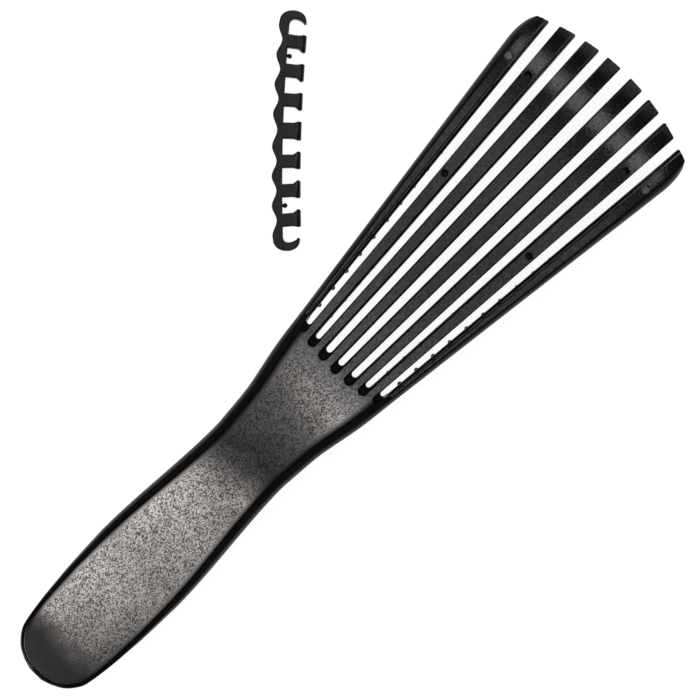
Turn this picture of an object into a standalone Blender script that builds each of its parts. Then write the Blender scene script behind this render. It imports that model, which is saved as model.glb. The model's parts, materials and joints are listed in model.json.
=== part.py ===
"""A flexible detangling brush with eight separate ribs, and its loose connector clip.

The brush frame used below: x runs from the handle's end to the rib tips, y across, and h is the
height above the seam between the back and front mouldings, square to the back. The function
place() bends that flat layout into the real shape, and settle() lays the brush on its pin tips.
"""

import math

import bmesh
import bpy
import numpy as np
from mathutils import Matrix, Vector

mm = 0.001

# Lengths along the brush
handle_length = 127.8 * mm       # handle's end to the line where the ribs start
rib_length = 112.2 * mm          # that line to the middle ribs' tips
grip_length = 88 * mm            # handle's end to the narrowest place of the neck
tip_arc_radius = 75 * mm         # the rib tips end on this arc, seen from above

# Widths of the handle
grip_width = 30.6 * mm
neck_width = 25.8 * mm
end_rim = 0.8 * mm               # gloss rim outside the textured panel, at the handle's end
side_rims = (0.45 * mm, 0.95 * mm, 2.05 * mm, 2.7 * mm, 2.75 * mm, 3.25 * mm)   # and along its sides
rim_land = 0.75 * mm             # flat top of the rim, inside its rounded side

# Ribs and slots, at the roots and at the tips
rib_root_width = 2.85 * mm
rib_tip_width = 4.8 * mm
slot_root_width = 2.0 * mm
slot_tip_width = 3.3 * mm
outer_tip_round_length = 10 * mm
outer_tip_round_width = 3.4 * mm
rib_tip_round = 0.9 * mm
slot_setback = 3.8 * mm          # from the rib line back to the end of each open slot
pit_length = 3.0 * mm            # how much further back the slots of the panel reach
slot_arc_radius = 54 * mm        # the slot ends lie on this arc

# Layers, from the back down
back_thickness = 1.8 * mm
strip_thickness = 0.6 * mm
rail_thickness = 2.0 * mm
rail_side = 0.7 * mm             # upright part of a rail's side
ledge = 0.35 * mm                # a rail stands out past the bar above it
edge_chamfer = 0.2 * mm
side_line_depth = 1.7 * mm       # the handle and outer ribs are widest this far below the seam

# Handle depth below the seam
grip_depth = 8.6 * mm
neck_depth = 7.0 * mm

# Side view
tip_bend_length = 34 * mm        # last stretch of the ribs, which curves down
tip_bend_radius = 90 * mm
neck_bend_start = 15.5 * mm      # from the rib line back to where the handle starts to drop
neck_bend_radius = 600 * mm
handle_slope = math.radians(3.5)
end_bend_length = 24 * mm        # last stretch of the handle, which curves down
end_bend_radius = 110 * mm
head_crown_radius = 160 * mm     # the head arches across

# Pins
pins_per_rib = 17
first_pin = 4.1 * mm             # from the rib line to the first pin
last_pin = 9.2 * mm              # from the last pin to the middle ribs' tips
pin_length = 9.0 * mm            # from the rail's underside to the ball's end
stem_diameter = 1.0 * mm
stem_tip_diameter = 0.8 * mm
ball_diameter = 1.6 * mm
pin_sides = 6

# Holes in ribs 2 and 7 that take the clip's pegs
peg_hole_diameter = 2.0 * mm
middle_hole_from_tip = 56.7 * mm
tip_hole_from_tip = 20.4 * mm

# Clearances
seam_gap = 0.3 * mm
root_gap = 0.5 * mm              # lets a rib turn on its stand-in hinge
stem_clearance = 0.25 * mm
overrun = 1.5 * mm               # how far cutters reach past what they cut

# Connector clip
clip_pitch = 8.36 * mm
clip_middle_pitch = 9.15 * mm
clip_slot_width = 4.6 * mm
clip_spine_thickness = 3.0 * mm
clip_waist_depth = 1.35 * mm
clip_post_length = 5.3 * mm
clip_step_width = 0.65 * mm      # a step along the bottom of each slot, at both faces
clip_step_depth = 1.0 * mm
clip_flare_length = 2.2 * mm
clip_flare_in = 0.95 * mm
clip_flare_out = 0.4 * mm
clip_flare_face = 0.9 * mm
clip_hook_thickness = 2.4 * mm
clip_toe_drop = 1.5 * mm         # the inside of a hook's toe is part of an ellipse, this far
clip_toe_rise = 2.7 * mm         # across and this far up from its middle
clip_arc_rise = 1.15 * mm
clip_thickness = 4.0 * mm
clip_bevel = 0.25 * mm
peg_neck_diameter = 1.0 * mm
peg_ball_diameter = 1.4 * mm
peg_length = 1.5 * mm            # from the bottom of a slot to the ball's end
clip_along = 33.45 * mm          # from the rib line towards the tips, to the clip's middle
clip_aside = 57.8 * mm           # from the brush's middle line to the clip's middle
clip_turn = math.radians(42.75)

# Shares, chosen by hand
grip_widest_share = 0.48
grip_end_shares = (
    (0.0, 0.2), (0.02, 0.392), (0.068, 0.592), (0.156, 0.772), (0.223, 0.83),
    (0.362, 0.888), (0.5, 0.927), (0.7, 0.970), (1.0, 1.0),
)
shoulder_shares = (
    (0.0, 0.0), (0.317, 0.197), (0.46, 0.382), (0.603, 0.597), (0.746, 0.778), (1.0, 1.0),
)
rim_shares = (0.0, 0.14, 0.34, 0.55, 0.75, 0.91, 1.0)      # places of the rims along the handle
depth_end_shares = (
    (0.0, 0.36), (0.026, 0.50), (0.095, 0.70), (0.227, 0.86), (0.5, 0.97), (1.0, 1.0),
)
rib_root_shares = (1.07, 0.99, 0.99, 0.937)        # from the middle ribs to the outer ones
rib_tip_shares = (0.99, 0.996, 1.037, 1.365)
slot_root_shares = (1.05, 1.105, 0.975, 0.955)     # from the middle slot outwards
slot_tip_shares = (1.25, 0.97, 1.0, 1.118)
row_share = 0.45                 # where the pin row lies across a rib, from its inner edge
foot_share = 0.07                # how much of its width a rail draws in at each side of its foot
outer_flat_share = 0.35          # flat part of an outer rib's back, at the tip
outer_foot_share = 0.21          # how much of its width an outer rail draws in under its flank
outer_side_share = 0.6           # height of an outer rail's lower edge, from shoulder to foot
flank_shares = (1.0, 0.85, 0.5, 0.0)      # heights up the rounded flank of an outer rib's back
grip_roundness_share = 0.85      # of the underside: 1 is an ellipse, less is squarer
root_roundness_share = 0.25
underside_shares = (0.985, 0.94, 0.86, 0.74, 0.58, 0.4, 0.2)   # across the handle's underside
loft_shares = (
    0.0, 0.002, 0.006, 0.012, 0.02, 0.033, 0.05, 0.075, 0.11, 0.16, 0.22, 0.3, 0.38, 0.45, 0.52, 0.58,
    0.64, 0.69, 0.73, 0.77, 0.81, 0.85, 0.89, 0.93, 0.965, 1.0,
)
rib_loft_shares = (0.0, 0.25, 0.5, 0.7, 0.76, 0.82, 0.87, 0.91, 0.94, 0.96, 0.98, 0.992, 1.0)
rail_slot_shares = (0.0, 0.4, 0.72, 0.79, 0.86, 0.93, 1.0)
straight_share = 0.25            # of the rib length, from the root: the stretch that sets the hinge
steepest_bend_share = 0.9        # of a bend's radius, past which the side line keeps its slope
clip_lip_share = 0.6             # how much of its flare a post keeps at its end
clip_corner_share = 0.75         # the round inside of an end hook, of half a slot
clip_hook_share = 0.96           # height of a hook, of the clip's depth
hook_round_shares = (0.55, 0.79)          # powers that square its round outside
post_lean_share = 0.024          # how much the posts draw together over their length
post_middle_share = 0.45         # the place along a post where the slots keep their pitch
peg_seat_share = 0.75            # where a peg starts in the spine's thickness

brush_length = handle_length + rib_length
rail_top = -(seam_gap + strip_thickness + seam_gap)
rail_foot = rail_top - rail_thickness
pin_pitch = (rib_length - first_pin - last_pin) / (pins_per_rib - 1)
ribs_per_side = len(rib_root_shares)
panel_strips = 6
waist_steps = 8
peg_sides = 12
peg_ball_steps = 5
rib_count = 2 * ribs_per_side


def ease(share):
    """Smooth step from 0 to 1."""
    share = min(max(share, 0.0), 1.0)
    return share * share * (3 - 2 * share)


def mix(low, high, share):
    return low + (high - low) * share


def smooth_through(table, at):
    """Value at a place, on a smooth curve through a table of (place, value)."""
    places = [row[0] for row in table]
    values = [row[1] for row in table]
    at = min(max(at, places[0]), places[-1])
    last = len(table) - 1
    k = next(i for i in range(last) if at <= places[i + 1])

    def slope(i):
        low, high = max(i - 1, 0), min(i + 1, last)
        return (values[high] - values[low]) / (places[high] - places[low])

    span = places[k + 1] - places[k]
    s = (at - places[k]) / span
    return (
        values[k] * (1 - ease(s)) + values[k + 1] * ease(s)
        + span * slope(k) * s * (1 - s) ** 2 - span * slope(k + 1) * s * s * (1 - s)
    )


def rib_edges(pair, x):
    """Inner and outer edge of a rib, for pairs counted from the middle. Straight lines."""
    share = (x - handle_length) / rib_length
    edge = 0.0
    for k in range(pair + 1):
        slot_root = slot_root_width * slot_root_shares[k]
        slot_tip = slot_tip_width * slot_tip_shares[k]
        slot = mix(slot_root, slot_tip, share)
        edge += slot / 2 if k == 0 else slot
        inner = edge
        edge += mix(rib_root_width * rib_root_shares[k], rib_tip_width * rib_tip_shares[k], share)
    return inner, edge


def half_width(x):
    """Half the handle's width."""
    widest_x = grip_length * grip_widest_share
    if x <= widest_x:
        return grip_width / 2 * smooth_through(grip_end_shares, x / widest_x)
    if x <= grip_length:
        return mix(grip_width / 2, neck_width / 2, ease((x - widest_x) / (grip_length - widest_x)))
    root = rib_edges(ribs_per_side - 1, handle_length)[1]
    share = smooth_through(shoulder_shares, (x - grip_length) / (handle_length - grip_length))
    return mix(neck_width / 2, root, share)


def panel_half_width(x, grow=0.0):
    """Half the width of the textured panel inside its gloss rim, or of its seat if grown."""
    start = end_rim - grow
    outer = half_width(max(x - start, 0.0) * handle_length / (handle_length - start))
    root = rib_edges(ribs_per_side - 1, handle_length)
    rims = side_rims + (root[1] - root[0] + seam_gap,)
    return outer - smooth_through(list(zip(rim_shares, rims)), x / handle_length) + grow


def handle_depth(x):
    """Depth of the handle's underside below the seam."""
    widest_x = grip_length * grip_widest_share
    if x <= widest_x:
        return grip_depth * smooth_through(depth_end_shares, x / widest_x)
    if x <= grip_length:
        return mix(grip_depth, neck_depth, ease((x - widest_x) / (grip_length - widest_x)))
    return mix(neck_depth, -rail_foot, ease((x - grip_length) / (handle_length - grip_length)))


def side_line(x):
    """Height and slope of the seam in the side view."""
    bend_x = brush_length - tip_bend_length
    if x > bend_x:
        turn = math.asin(min((x - bend_x) / tip_bend_radius, steepest_bend_share))
        return -tip_bend_radius * (1 - math.cos(turn)), -math.tan(turn)
    start_x = handle_length - neck_bend_start
    if x > start_x:
        return 0.0, 0.0
    line_x = start_x - neck_bend_radius * math.sin(handle_slope)
    if x > line_x:
        turn = math.asin((start_x - x) / neck_bend_radius)
        return -neck_bend_radius * (1 - math.cos(turn)), math.tan(turn)
    height = -neck_bend_radius * (1 - math.cos(handle_slope))
    height -= (line_x - x) * math.tan(handle_slope)
    past = max(end_bend_length - x, 0.0)
    turn = math.asin(min(past / end_bend_radius, steepest_bend_share))
    height -= end_bend_radius * (1 - math.cos(turn))
    return height, math.tan(handle_slope) + math.tan(turn)


def crown(x):
    """Curvature across the back: none on the grip, full on the head."""
    return ease((x - grip_length) / (handle_length - grip_length)) / head_crown_radius


def place(x, y, h):
    """Bend a point of the flat layout into the brush's real shape."""
    height, slope = side_line(x)
    bend = crown(x)
    z = height + h * math.sqrt(1 + slope * slope) - bend * y * y / 2
    return Vector((x, y + h * bend * y, z))


def tip_x(y):
    """The arc on which the ribs end."""
    return brush_length - tip_arc_radius + math.sqrt(max(tip_arc_radius ** 2 - y * y, 0.0))


def slot_end_x(y, back_by):
    """Where an open slot ends, seen from above."""
    bow = slot_arc_radius - math.sqrt(max(slot_arc_radius ** 2 - y * y, 0.0))
    return handle_length - slot_setback - back_by + bow


def loft(bm, rings):
    """Skin a row of closed rings of points, and close both ends."""
    loops = [[bm.verts.new(point) for point in ring] for ring in rings]
    count = len(loops[0])
    for low, high in zip(loops, loops[1:]):
        for k in range(count):
            bm.faces.new((low[k], low[(k + 1) % count], high[(k + 1) % count], high[k]))
    bm.faces.new(loops[0])
    bm.faces.new(loops[-1])
    bmesh.ops.recalc_face_normals(bm, faces=bm.faces)


def make_material(name, colour, roughness, metallic=0.0):
    material = bpy.data.materials.new(name)
    material.use_nodes = True
    shader = material.node_tree.nodes["Principled BSDF"]
    shader.inputs["Base Color"].default_value = (*colour, 1)
    shader.inputs["Roughness"].default_value = roughness
    shader.inputs["Metallic"].default_value = metallic
    return material


def add_empty(name, parent, at):
    empty = bpy.data.objects.new(name, None)
    bpy.context.scene.collection.objects.link(empty)
    empty.parent = parent
    empty.location = at
    return empty


def add_piece(name, bm, material, parent, at=Vector((0, 0, 0))):
    """Turn a bmesh in the brush frame into an object whose origin is at the given point."""
    bmesh.ops.translate(bm, vec=-at, verts=bm.verts)
    mesh = bpy.data.meshes.new(name)
    bm.to_mesh(mesh)
    bm.free()
    mesh.materials.append(material)
    mesh.shade_smooth()
    mesh.set_sharp_from_angle(angle=math.radians(35))
    piece = bpy.data.objects.new(name, mesh)
    bpy.context.scene.collection.objects.link(piece)
    piece.parent = parent
    return piece


def add_cutter(name, bm, parent, at=Vector((0, 0, 0))):
    cutter = add_piece(name, bm, bpy.data.materials["cutter"], parent, at)
    cutter.hide_render = True
    cutter.display_type = "WIRE"
    return cutter


def cut(piece, other, operation="DIFFERENCE"):
    modifier = piece.modifiers.new(other.name, "BOOLEAN")
    modifier.operation = operation
    modifier.object = other
    modifier.solver = "EXACT"


# Handle


def handle_ring(x):
    """Section of the gloss lower moulding, before its seat is cut: flat top, rounded below."""
    wide = half_width(x)
    rim = min(panel_half_width(x, seam_gap) + rim_land, wide - edge_chamfer)
    deep = handle_depth(x)
    side = min(side_line_depth, deep / 2)
    along = ease((x - grip_length) / (handle_length - grip_length))
    power = 2 / mix(grip_roundness_share, root_roundness_share, along)
    half = []
    for turn in (0, 18, 36, 54, 72, 90):
        a = math.radians(turn)
        half.append((mix(rim, wide, math.sin(a)), mix(-side, back_thickness, math.cos(a))))
    for share in underside_shares:
        half.append((wide * share, -mix(side, deep, (1 - share ** power) ** (1 / power))))
    mirrored = [(-y, h) for y, h in reversed(half)]
    section = [(0.0, back_thickness)] + half + [(0.0, -deep)] + mirrored
    return [place(x, y, h) for y, h in section]


def panel_ring(x, grow, low, high, chamfer):
    """Section of the panel, or of its seat: low and high faces that follow the crown."""
    wide = panel_half_width(x, grow)
    inner = wide - chamfer
    across = [mix(-inner, inner, k / panel_strips) for k in range(1, panel_strips)]
    section = [(-wide, low), (-wide, high - chamfer), (-inner, high)]
    section += [(y, high) for y in across]
    section += [(inner, high), (wide, high - chamfer), (wide, low)]
    section += [(y, low) for y in reversed(across)]
    return [place(x, y, h) for y, h in section]


def handle_stations(start, end):
    return [mix(start, end, share) for share in loft_shares]


def add_mesh(bm, part):
    """Add one finished bmesh to another, as a body of its own."""
    mesh = bpy.data.meshes.new("part")
    part.to_mesh(mesh)
    part.free()
    bm.from_mesh(mesh)
    bpy.data.meshes.remove(mesh)


def slot_edges(pair, x, widen):
    """Inner and outer edge of the slot inside a rib. The middle slot is symmetric."""
    outer = rib_edges(pair, x)[0] + widen
    inner = rib_edges(pair - 1, x)[1] - widen if pair else -outer
    return inner, outer


def slot_outline(pair, back_by, widen):
    """A slot seen from above: straight sides and a round end."""
    middle = sum(slot_edges(pair, handle_length - slot_setback, widen)) / 2
    end_x = slot_end_x(middle, back_by)
    inner, outer = slot_edges(pair, end_x, widen)
    far_x = handle_length + overrun
    far_inner, far_outer = slot_edges(pair, far_x, widen)
    if widen and pair == ribs_per_side - 1:
        outer += overrun
        far_outer += overrun
    radius = (slot_edges(pair, end_x, widen)[1] - inner) / 2
    outline = [(far_x, far_inner), (far_x, far_outer), (end_x + radius, outer)]
    for turn in (60, 30, 0, -30, -60):
        a = math.radians(turn)
        outline.append((end_x + radius * (1 - math.cos(a)), mix(inner, outer, (1 + math.sin(a)) / 2)))
    outline.append((end_x + radius, inner))
    return outline


def slot_prisms(bm, back_by, widen, low, high):
    """One round-ended prism for each slot between two ribs."""
    for slot in range(1 - ribs_per_side, ribs_per_side):
        side = 1 if slot >= 0 else -1
        outline = slot_outline(abs(slot), back_by, widen)
        part = bmesh.new()
        loft(part, [[place(x, side * y, h) for x, y in outline] for h in (low, high)])
        add_mesh(bm, part)


def build_handle(parent, gloss, textured):
    bm = bmesh.new()
    loft(bm, [handle_ring(x) for x in handle_stations(0.0, handle_length)])
    front = add_piece("handle_front", bm, gloss, parent)
    bm = bmesh.new()
    stations = handle_stations(end_rim - seam_gap, handle_length)
    stations[-1] += overrun
    loft(bm, [panel_ring(x, seam_gap, -seam_gap, back_thickness + overrun, edge_chamfer)
              for x in stations])
    cut(front, add_cutter("panel_seat", bm, parent))
    bm = bmesh.new()
    slot_prisms(bm, 0.0, 0.0, rail_foot - overrun, back_thickness + overrun)
    cut(front, add_cutter("front_slots", bm, parent))

    bm = bmesh.new()
    loft(bm, [panel_ring(x, 0.0, 0.0, back_thickness, edge_chamfer)
              for x in handle_stations(end_rim, handle_length)])
    back = add_piece("handle_back", bm, textured, parent)
    bm = bmesh.new()
    slot_prisms(bm, pit_length, ledge, -overrun, back_thickness + overrun)
    cut(back, add_cutter("panel_slots", bm, parent))
    return front


# Ribs


def tip_inset(distance, length, width):
    """How far an edge draws in near its rounded tip."""
    if distance >= length:
        return 0.0
    share = 1 - distance / length
    return width * (1 - math.sqrt(1 - share * share))


def rib_section(pair, x, shrink, tip_back):
    """Inner and outer edge of a layer of a rib at a station, with its rounded tip corners."""
    inner, outer = rib_edges(pair, x)
    middle = (inner + outer) / 2
    left = tip_x(middle) - tip_back - x
    inner += shrink + tip_inset(left, rib_tip_round, rib_tip_round)
    if pair == ribs_per_side - 1:
        outer -= tip_inset(left, outer_tip_round_length, outer_tip_round_width)
    else:
        outer -= shrink + tip_inset(left, rib_tip_round, rib_tip_round)
    return inner, outer


def outer_flank(x, outer, h):
    """Where the rounded flank of an outer rib lies at height h."""
    inner, nominal = rib_edges(ribs_per_side - 1, x)
    share = (x - handle_length) / rib_length
    start = inner + rim_land + (nominal - inner) * outer_flat_share * ease(2 * share)
    start = min(start, outer - edge_chamfer)
    rise = (h + side_line_depth) / (back_thickness + side_line_depth)
    return mix(start, outer, math.sqrt(max(1 - rise * rise, 0.0)))


def rib_rings(pair, side, shrink, tip_back, section):
    """Stations along a rib. Each point runs straight from the root line to the tip arc."""
    start = handle_length + root_gap
    rings = []
    for share in rib_loft_shares:
        middle = sum(rib_edges(pair, mix(start, brush_length, share))) / 2
        x = mix(start, tip_x(middle) - tip_back, share)
        inner, outer = rib_section(pair, x, shrink, tip_back)
        ring = []
        for y, h in section(x, inner, outer):
            end = tip_x(y) - tip_back
            ring.append(place(mix(start, end, share), side * y, h))
        rings.append(ring)
    return rings


def rib_back_section(pair):
    top = back_thickness

    def section(x, inner, outer):
        points = [(inner, 0.0), (inner, top - edge_chamfer), (inner + edge_chamfer, top)]
        if pair < ribs_per_side - 1:
            points += [(outer - edge_chamfer, top), (outer, top - edge_chamfer), (outer, 0.0)]
            return points
        for share in flank_shares:
            points.append((outer_flank(x, outer, top * share), top * share))
        return points

    return section


def rail_section(pair):
    def section(x, inner, outer):
        width = outer - inner
        draw = width * foot_share
        shoulder = rail_top - rail_side
        points = [(inner, rail_top), (inner, shoulder), (inner + draw, rail_foot)]
        if pair < ribs_per_side - 1:
            return points + [(outer - draw, rail_foot), (outer, shoulder), (outer, rail_top)]
        side = mix(shoulder, rail_foot, outer_side_share)
        points += [(outer - width * outer_foot_share, rail_foot), (outer - draw, side)]
        return points + [(outer, -side_line_depth), (outer_flank(x, outer, rail_top), rail_top)]

    return section


def row_y(pair, x):
    """Where the pin row runs."""
    inner, outer = rib_edges(pair, x)
    return mix(inner, outer, row_share)


def strip_section(pair):
    def section(x, inner, outer):
        far = mix(inner, outer, 2 * row_share)
        top, foot = -seam_gap, -seam_gap - strip_thickness
        return [(inner, top), (far, top), (far, foot), (inner, foot)]

    return section


def pin_places():
    return [handle_length + first_pin + k * pin_pitch for k in range(pins_per_rib)]


def add_pin(bm, pair, side, x):
    """One turned pin, standing square to the head's crown."""
    top = -seam_gap - strip_thickness / 2
    length = top - rail_foot + pin_length
    ball = ball_diameter / 2
    neck = ball * math.cos(math.asin(stem_tip_diameter / ball_diameter))
    profile = [(0.0, 0.0), (stem_diameter / 2, 0.0), (stem_tip_diameter / 2, ball + neck - length),
               (ball, ball - length), (ball * math.sin(math.radians(45)),
                                       ball * (1 - math.cos(math.radians(45))) - length),
               (0.0, -length)]
    pin = bmesh.new()
    verts = [pin.verts.new((r, 0.0, z)) for r, z in profile]
    edges = [pin.edges.new(pair_of) for pair_of in zip(verts, verts[1:])]
    bmesh.ops.spin(pin, geom=verts + edges, cent=(0, 0, 0), axis=(0, 0, 1),
                   angle=2 * math.pi, steps=pin_sides, use_merge=True)
    bmesh.ops.remove_doubles(pin, verts=pin.verts, dist=stem_tip_diameter / 100)
    bmesh.ops.recalc_face_normals(pin, faces=pin.faces)
    y = side * row_y(pair, x)
    lean = Matrix.Rotation(-math.atan(crown(x) * y), 4, "X")
    pin.transform(Matrix.Translation(place(x, y, top)) @ lean)
    add_mesh(bm, pin)


def hinge_point(pair, side):
    """Middle of a rib's root, where its flexing is centred."""
    x = handle_length + root_gap / 2
    y = side * sum(rib_edges(pair, x)) / 2
    return place(x, y, (back_thickness + rail_foot) / 2)


def hinge_axis(pair, side):
    """Across the rib, so that a positive turn lifts its tip away from the pins."""
    near = handle_length
    far = near + rib_length * straight_share
    along = place(far, side * sum(rib_edges(pair, far)) / 2, 0.0)
    along -= place(near, side * sum(rib_edges(pair, near)) / 2, 0.0)
    y = side * sum(rib_edges(pair, near)) / 2
    up = Vector((0.0, crown(near) * y, 1.0))
    return along.normalized().cross(up.normalized()).normalized()


def rail_slot(bm, pair, side):
    """The slot in a rail through which its pins stand."""
    places = pin_places()
    half = stem_diameter / 2 + stem_clearance
    start = places[0] - 2 * half
    end = places[-1] + 2 * half
    rings = []
    for share in rail_slot_shares:
        x = mix(start, end, share)
        y = row_y(pair, x)
        section = [(y - half, rail_top + seam_gap / 2), (y + half, rail_top + seam_gap / 2),
                   (y + half, rail_foot - overrun), (y - half, rail_foot - overrun)]
        rings.append([place(x, side * a, h) for a, h in section])
    part = bmesh.new()
    loft(part, rings)
    add_mesh(bm, part)


def peg_hole(bm, pair, side, x):
    y = sum(rib_edges(pair, x)) / 2
    hole = bmesh.ops.create_cone(
        bm, cap_ends=True, segments=peg_sides, radius1=peg_hole_diameter / 2,
        radius2=peg_hole_diameter / 2, depth=2 * (back_thickness + overrun))
    bmesh.ops.translate(bm, vec=place(x, side * y, back_thickness / 2), verts=hole["verts"])


def build_rib(number, parent, back_look, rail_look, pin_look):
    side = 1 if number <= ribs_per_side else -1
    pair = ribs_per_side - number if side > 0 else number - ribs_per_side - 1
    at = hinge_point(pair, side)
    hinge = add_empty(f"rib_{number}_hinge", parent, at)

    bm = bmesh.new()
    loft(bm, rib_rings(pair, side, ledge, ledge, rib_back_section(pair)))
    back = add_piece(f"rib_back_{number}", bm, back_look, hinge, at)
    if pair == ribs_per_side - 2:
        bm = bmesh.new()
        for from_tip in (middle_hole_from_tip, tip_hole_from_tip):
            peg_hole(bm, pair, side, brush_length - from_tip)
        cut(back, add_cutter(f"peg_holes_{number}", bm, hinge, at))

    bm = bmesh.new()
    loft(bm, rib_rings(pair, side, 0.0, 0.0, rail_section(pair)))
    rail = add_piece(f"rib_front_{number}", bm, rail_look, hinge, at)
    bm = bmesh.new()
    rail_slot(bm, pair, side)
    cut(rail, add_cutter(f"rail_slot_{number}", bm, hinge, at))

    bm = bmesh.new()
    loft(bm, rib_rings(pair, side, ledge + edge_chamfer, 3 * ledge, strip_section(pair)))
    strip = add_piece(f"pin_strip_{number}", bm, pin_look, hinge, at)
    bm = bmesh.new()
    for x in pin_places():
        add_pin(bm, pair, side, x)
    pins = add_cutter(f"pins_{number}", bm, hinge, at)
    cut(strip, pins, "UNION")
    return pins, hinge, hinge_axis(pair, side)


# Clip


def clip_slots():
    """Slot middles on one half of the clip."""
    return [clip_middle_pitch / 2 + k * clip_pitch for k in range(ribs_per_side)]


def clip_outline():
    """One half of the clip's outline: u along the clip from its middle, v out from the spine."""
    slots = clip_slots()
    half_slot = clip_slot_width / 2
    inner = clip_spine_thickness
    end = inner + clip_post_length
    slope_at = end - clip_flare_length
    face_at = end - clip_flare_face

    points = []
    post_sides = [(slot - half_slot, slot + half_slot) for slot in slots]
    for k, (near, far) in enumerate(post_sides):
        out = clip_flare_out if k else (clip_flare_in + clip_flare_out) / 3
        points += [(near + out * clip_lip_share, end), (near + out, face_at)]
        points += [(near, slope_at), (near, inner)]
        if k < len(slots) - 1:
            points += [(far, inner), (far, slope_at), (far - clip_flare_in, face_at)]
            points.append((far - clip_flare_in * clip_lip_share, end))

    far = post_sides[-1][1]
    corner = half_slot * clip_corner_share
    for turn in (-90, -60, -30, 0):
        a = math.radians(turn)
        points.append((far - corner * (1 - math.cos(a)), inner + corner * (1 + math.sin(a))))
    for turn in (25, 50, 76):
        a = math.radians(turn)
        points.append((far - clip_toe_drop * (1 - math.cos(a)),
                       inner + corner + clip_toe_rise * math.sin(a)))
    across, up = hook_round_shares
    for turn in (172, 156, 140, 120, 100, 80, 60, 44, 30, 18, 9):
        a = math.radians(turn)
        points.append((slots[-1] + (half_slot + clip_hook_thickness) * math.sin(a) ** across,
                       end * clip_hook_share * ((1 - math.cos(a)) / 2) ** up))

    for k in reversed(range(len(slots))):
        gap = clip_pitch if k else clip_middle_pitch
        for step in range(waist_steps if k else waist_steps // 2):
            share = step / waist_steps
            depth = clip_waist_depth * (1 - math.cos(2 * math.pi * share)) / 2
            points.append((slots[k] - share * gap, depth))
    return points


def clip_steps(bm, lie):
    """Cutters for the step along the bottom of each slot, at both faces of the clip."""
    half = clip_slot_width / 2 - clip_bevel
    low, high = clip_spine_thickness - clip_step_width, clip_spine_thickness + clip_step_width
    for slot in clip_slots():
        for side in (1, -1):
            corners = [(slot - half, low), (slot + half, low), (slot + half, high), (slot - half, high)]
            for bottom, top in ((-overrun, clip_step_depth),
                                (clip_thickness - clip_step_depth, clip_thickness + overrun)):
                part = bmesh.new()
                loft(part, [[lie(side * u, v, z) for u, v in corners] for z in (bottom, top)])
                add_mesh(bm, part)


def clip_peg(u, lie):
    """A short neck with a ball, lying square to the spine."""
    ball = peg_ball_diameter / 2
    neck = peg_neck_diameter / 2
    start = -clip_spine_thickness * (1 - peg_seat_share)
    profile = [(0.0, start), (neck, start)]
    first = math.asin(neck / ball)
    for step in range(peg_ball_steps + 1):
        a = mix(first, math.pi, step / peg_ball_steps)
        profile.append((ball * math.sin(a), peg_length - ball - ball * math.cos(a)))
    peg = bmesh.new()
    verts = [peg.verts.new((r, 0.0, z)) for r, z in profile]
    edges = [peg.edges.new(pair_of) for pair_of in zip(verts, verts[1:])]
    bmesh.ops.spin(peg, geom=verts + edges, cent=(0, 0, 0), axis=(0, 0, 1),
                   angle=2 * math.pi, steps=peg_sides, use_merge=True)
    bmesh.ops.remove_doubles(peg, verts=peg.verts, dist=peg_ball_diameter / 100)
    bmesh.ops.recalc_face_normals(peg, faces=peg.faces)
    foot = lie(u, clip_spine_thickness, clip_thickness / 2)
    peg.transform(Matrix.Translation(foot) @ Matrix.Rotation(math.radians(90), 4, "X"))
    return peg


def build_clip(parent, look):
    """The outline pushed out to its thickness, lying on its side, with two round pegs."""
    half = clip_outline()
    outline = half + [(0.0, clip_waist_depth)] + [(-u, v) for u, v in reversed(half)]
    reach = max(u for u, v in half)
    middle = (clip_spine_thickness + clip_post_length) / 2

    def lie(u, v, z):
        """Draw the posts together, bend the clip to its slight arc and turn it to the brush."""
        along = (v - clip_spine_thickness) / clip_post_length
        lean = 1 - post_lean_share * (along - post_middle_share)
        return Vector((u * lean, middle - v - clip_arc_rise * (u / reach) ** 2, z))

    bm = bmesh.new()
    face = bm.faces.new([bm.verts.new(lie(u, v, 0.0)) for u, v in outline])
    sides = bmesh.ops.extrude_face_region(bm, geom=[face])
    top = [item for item in sides["geom"] if isinstance(item, bmesh.types.BMVert)]
    bmesh.ops.translate(bm, vec=(0, 0, clip_thickness), verts=top)
    bmesh.ops.recalc_face_normals(bm, faces=bm.faces)
    rims = [edge for edge in bm.edges if abs(edge.verts[0].co.z - edge.verts[1].co.z) < clip_bevel]
    bmesh.ops.bevel(bm, geom=rims, offset=clip_bevel, segments=1, profile=0.5, affect="EDGES",
                    material=-1)
    clip = add_piece("connector_clip", bm, look, parent)

    bm = bmesh.new()
    clip_steps(bm, lie)
    cut(clip, add_cutter("clip_slot_steps", bm, parent))
    bm = bmesh.new()
    for side in (1, -1):
        add_mesh(bm, clip_peg(side * clip_slots()[ribs_per_side - 2], lie))
    cut(clip, add_cutter("clip_pegs", bm, parent), "UNION")
    return clip


def world_points(pieces):
    bpy.context.view_layer.update()
    return np.array([piece.matrix_world @ vert.co for piece in pieces
                     for vert in piece.data.vertices])


def rest_tilt(handle, pins):
    """Lift of the head at which the pin tips and the handle's underside are equally low."""
    low, high = -math.radians(20), math.radians(20)
    for _ in range(50):
        tilt = (low + high) / 2
        heights = [(points[:, 0] * math.sin(tilt) + points[:, 2] * math.cos(tilt)).min()
                   for points in (handle, pins)]
        if heights[0] > heights[1]:
            low = tilt
        else:
            high = tilt
    return tilt


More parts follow.
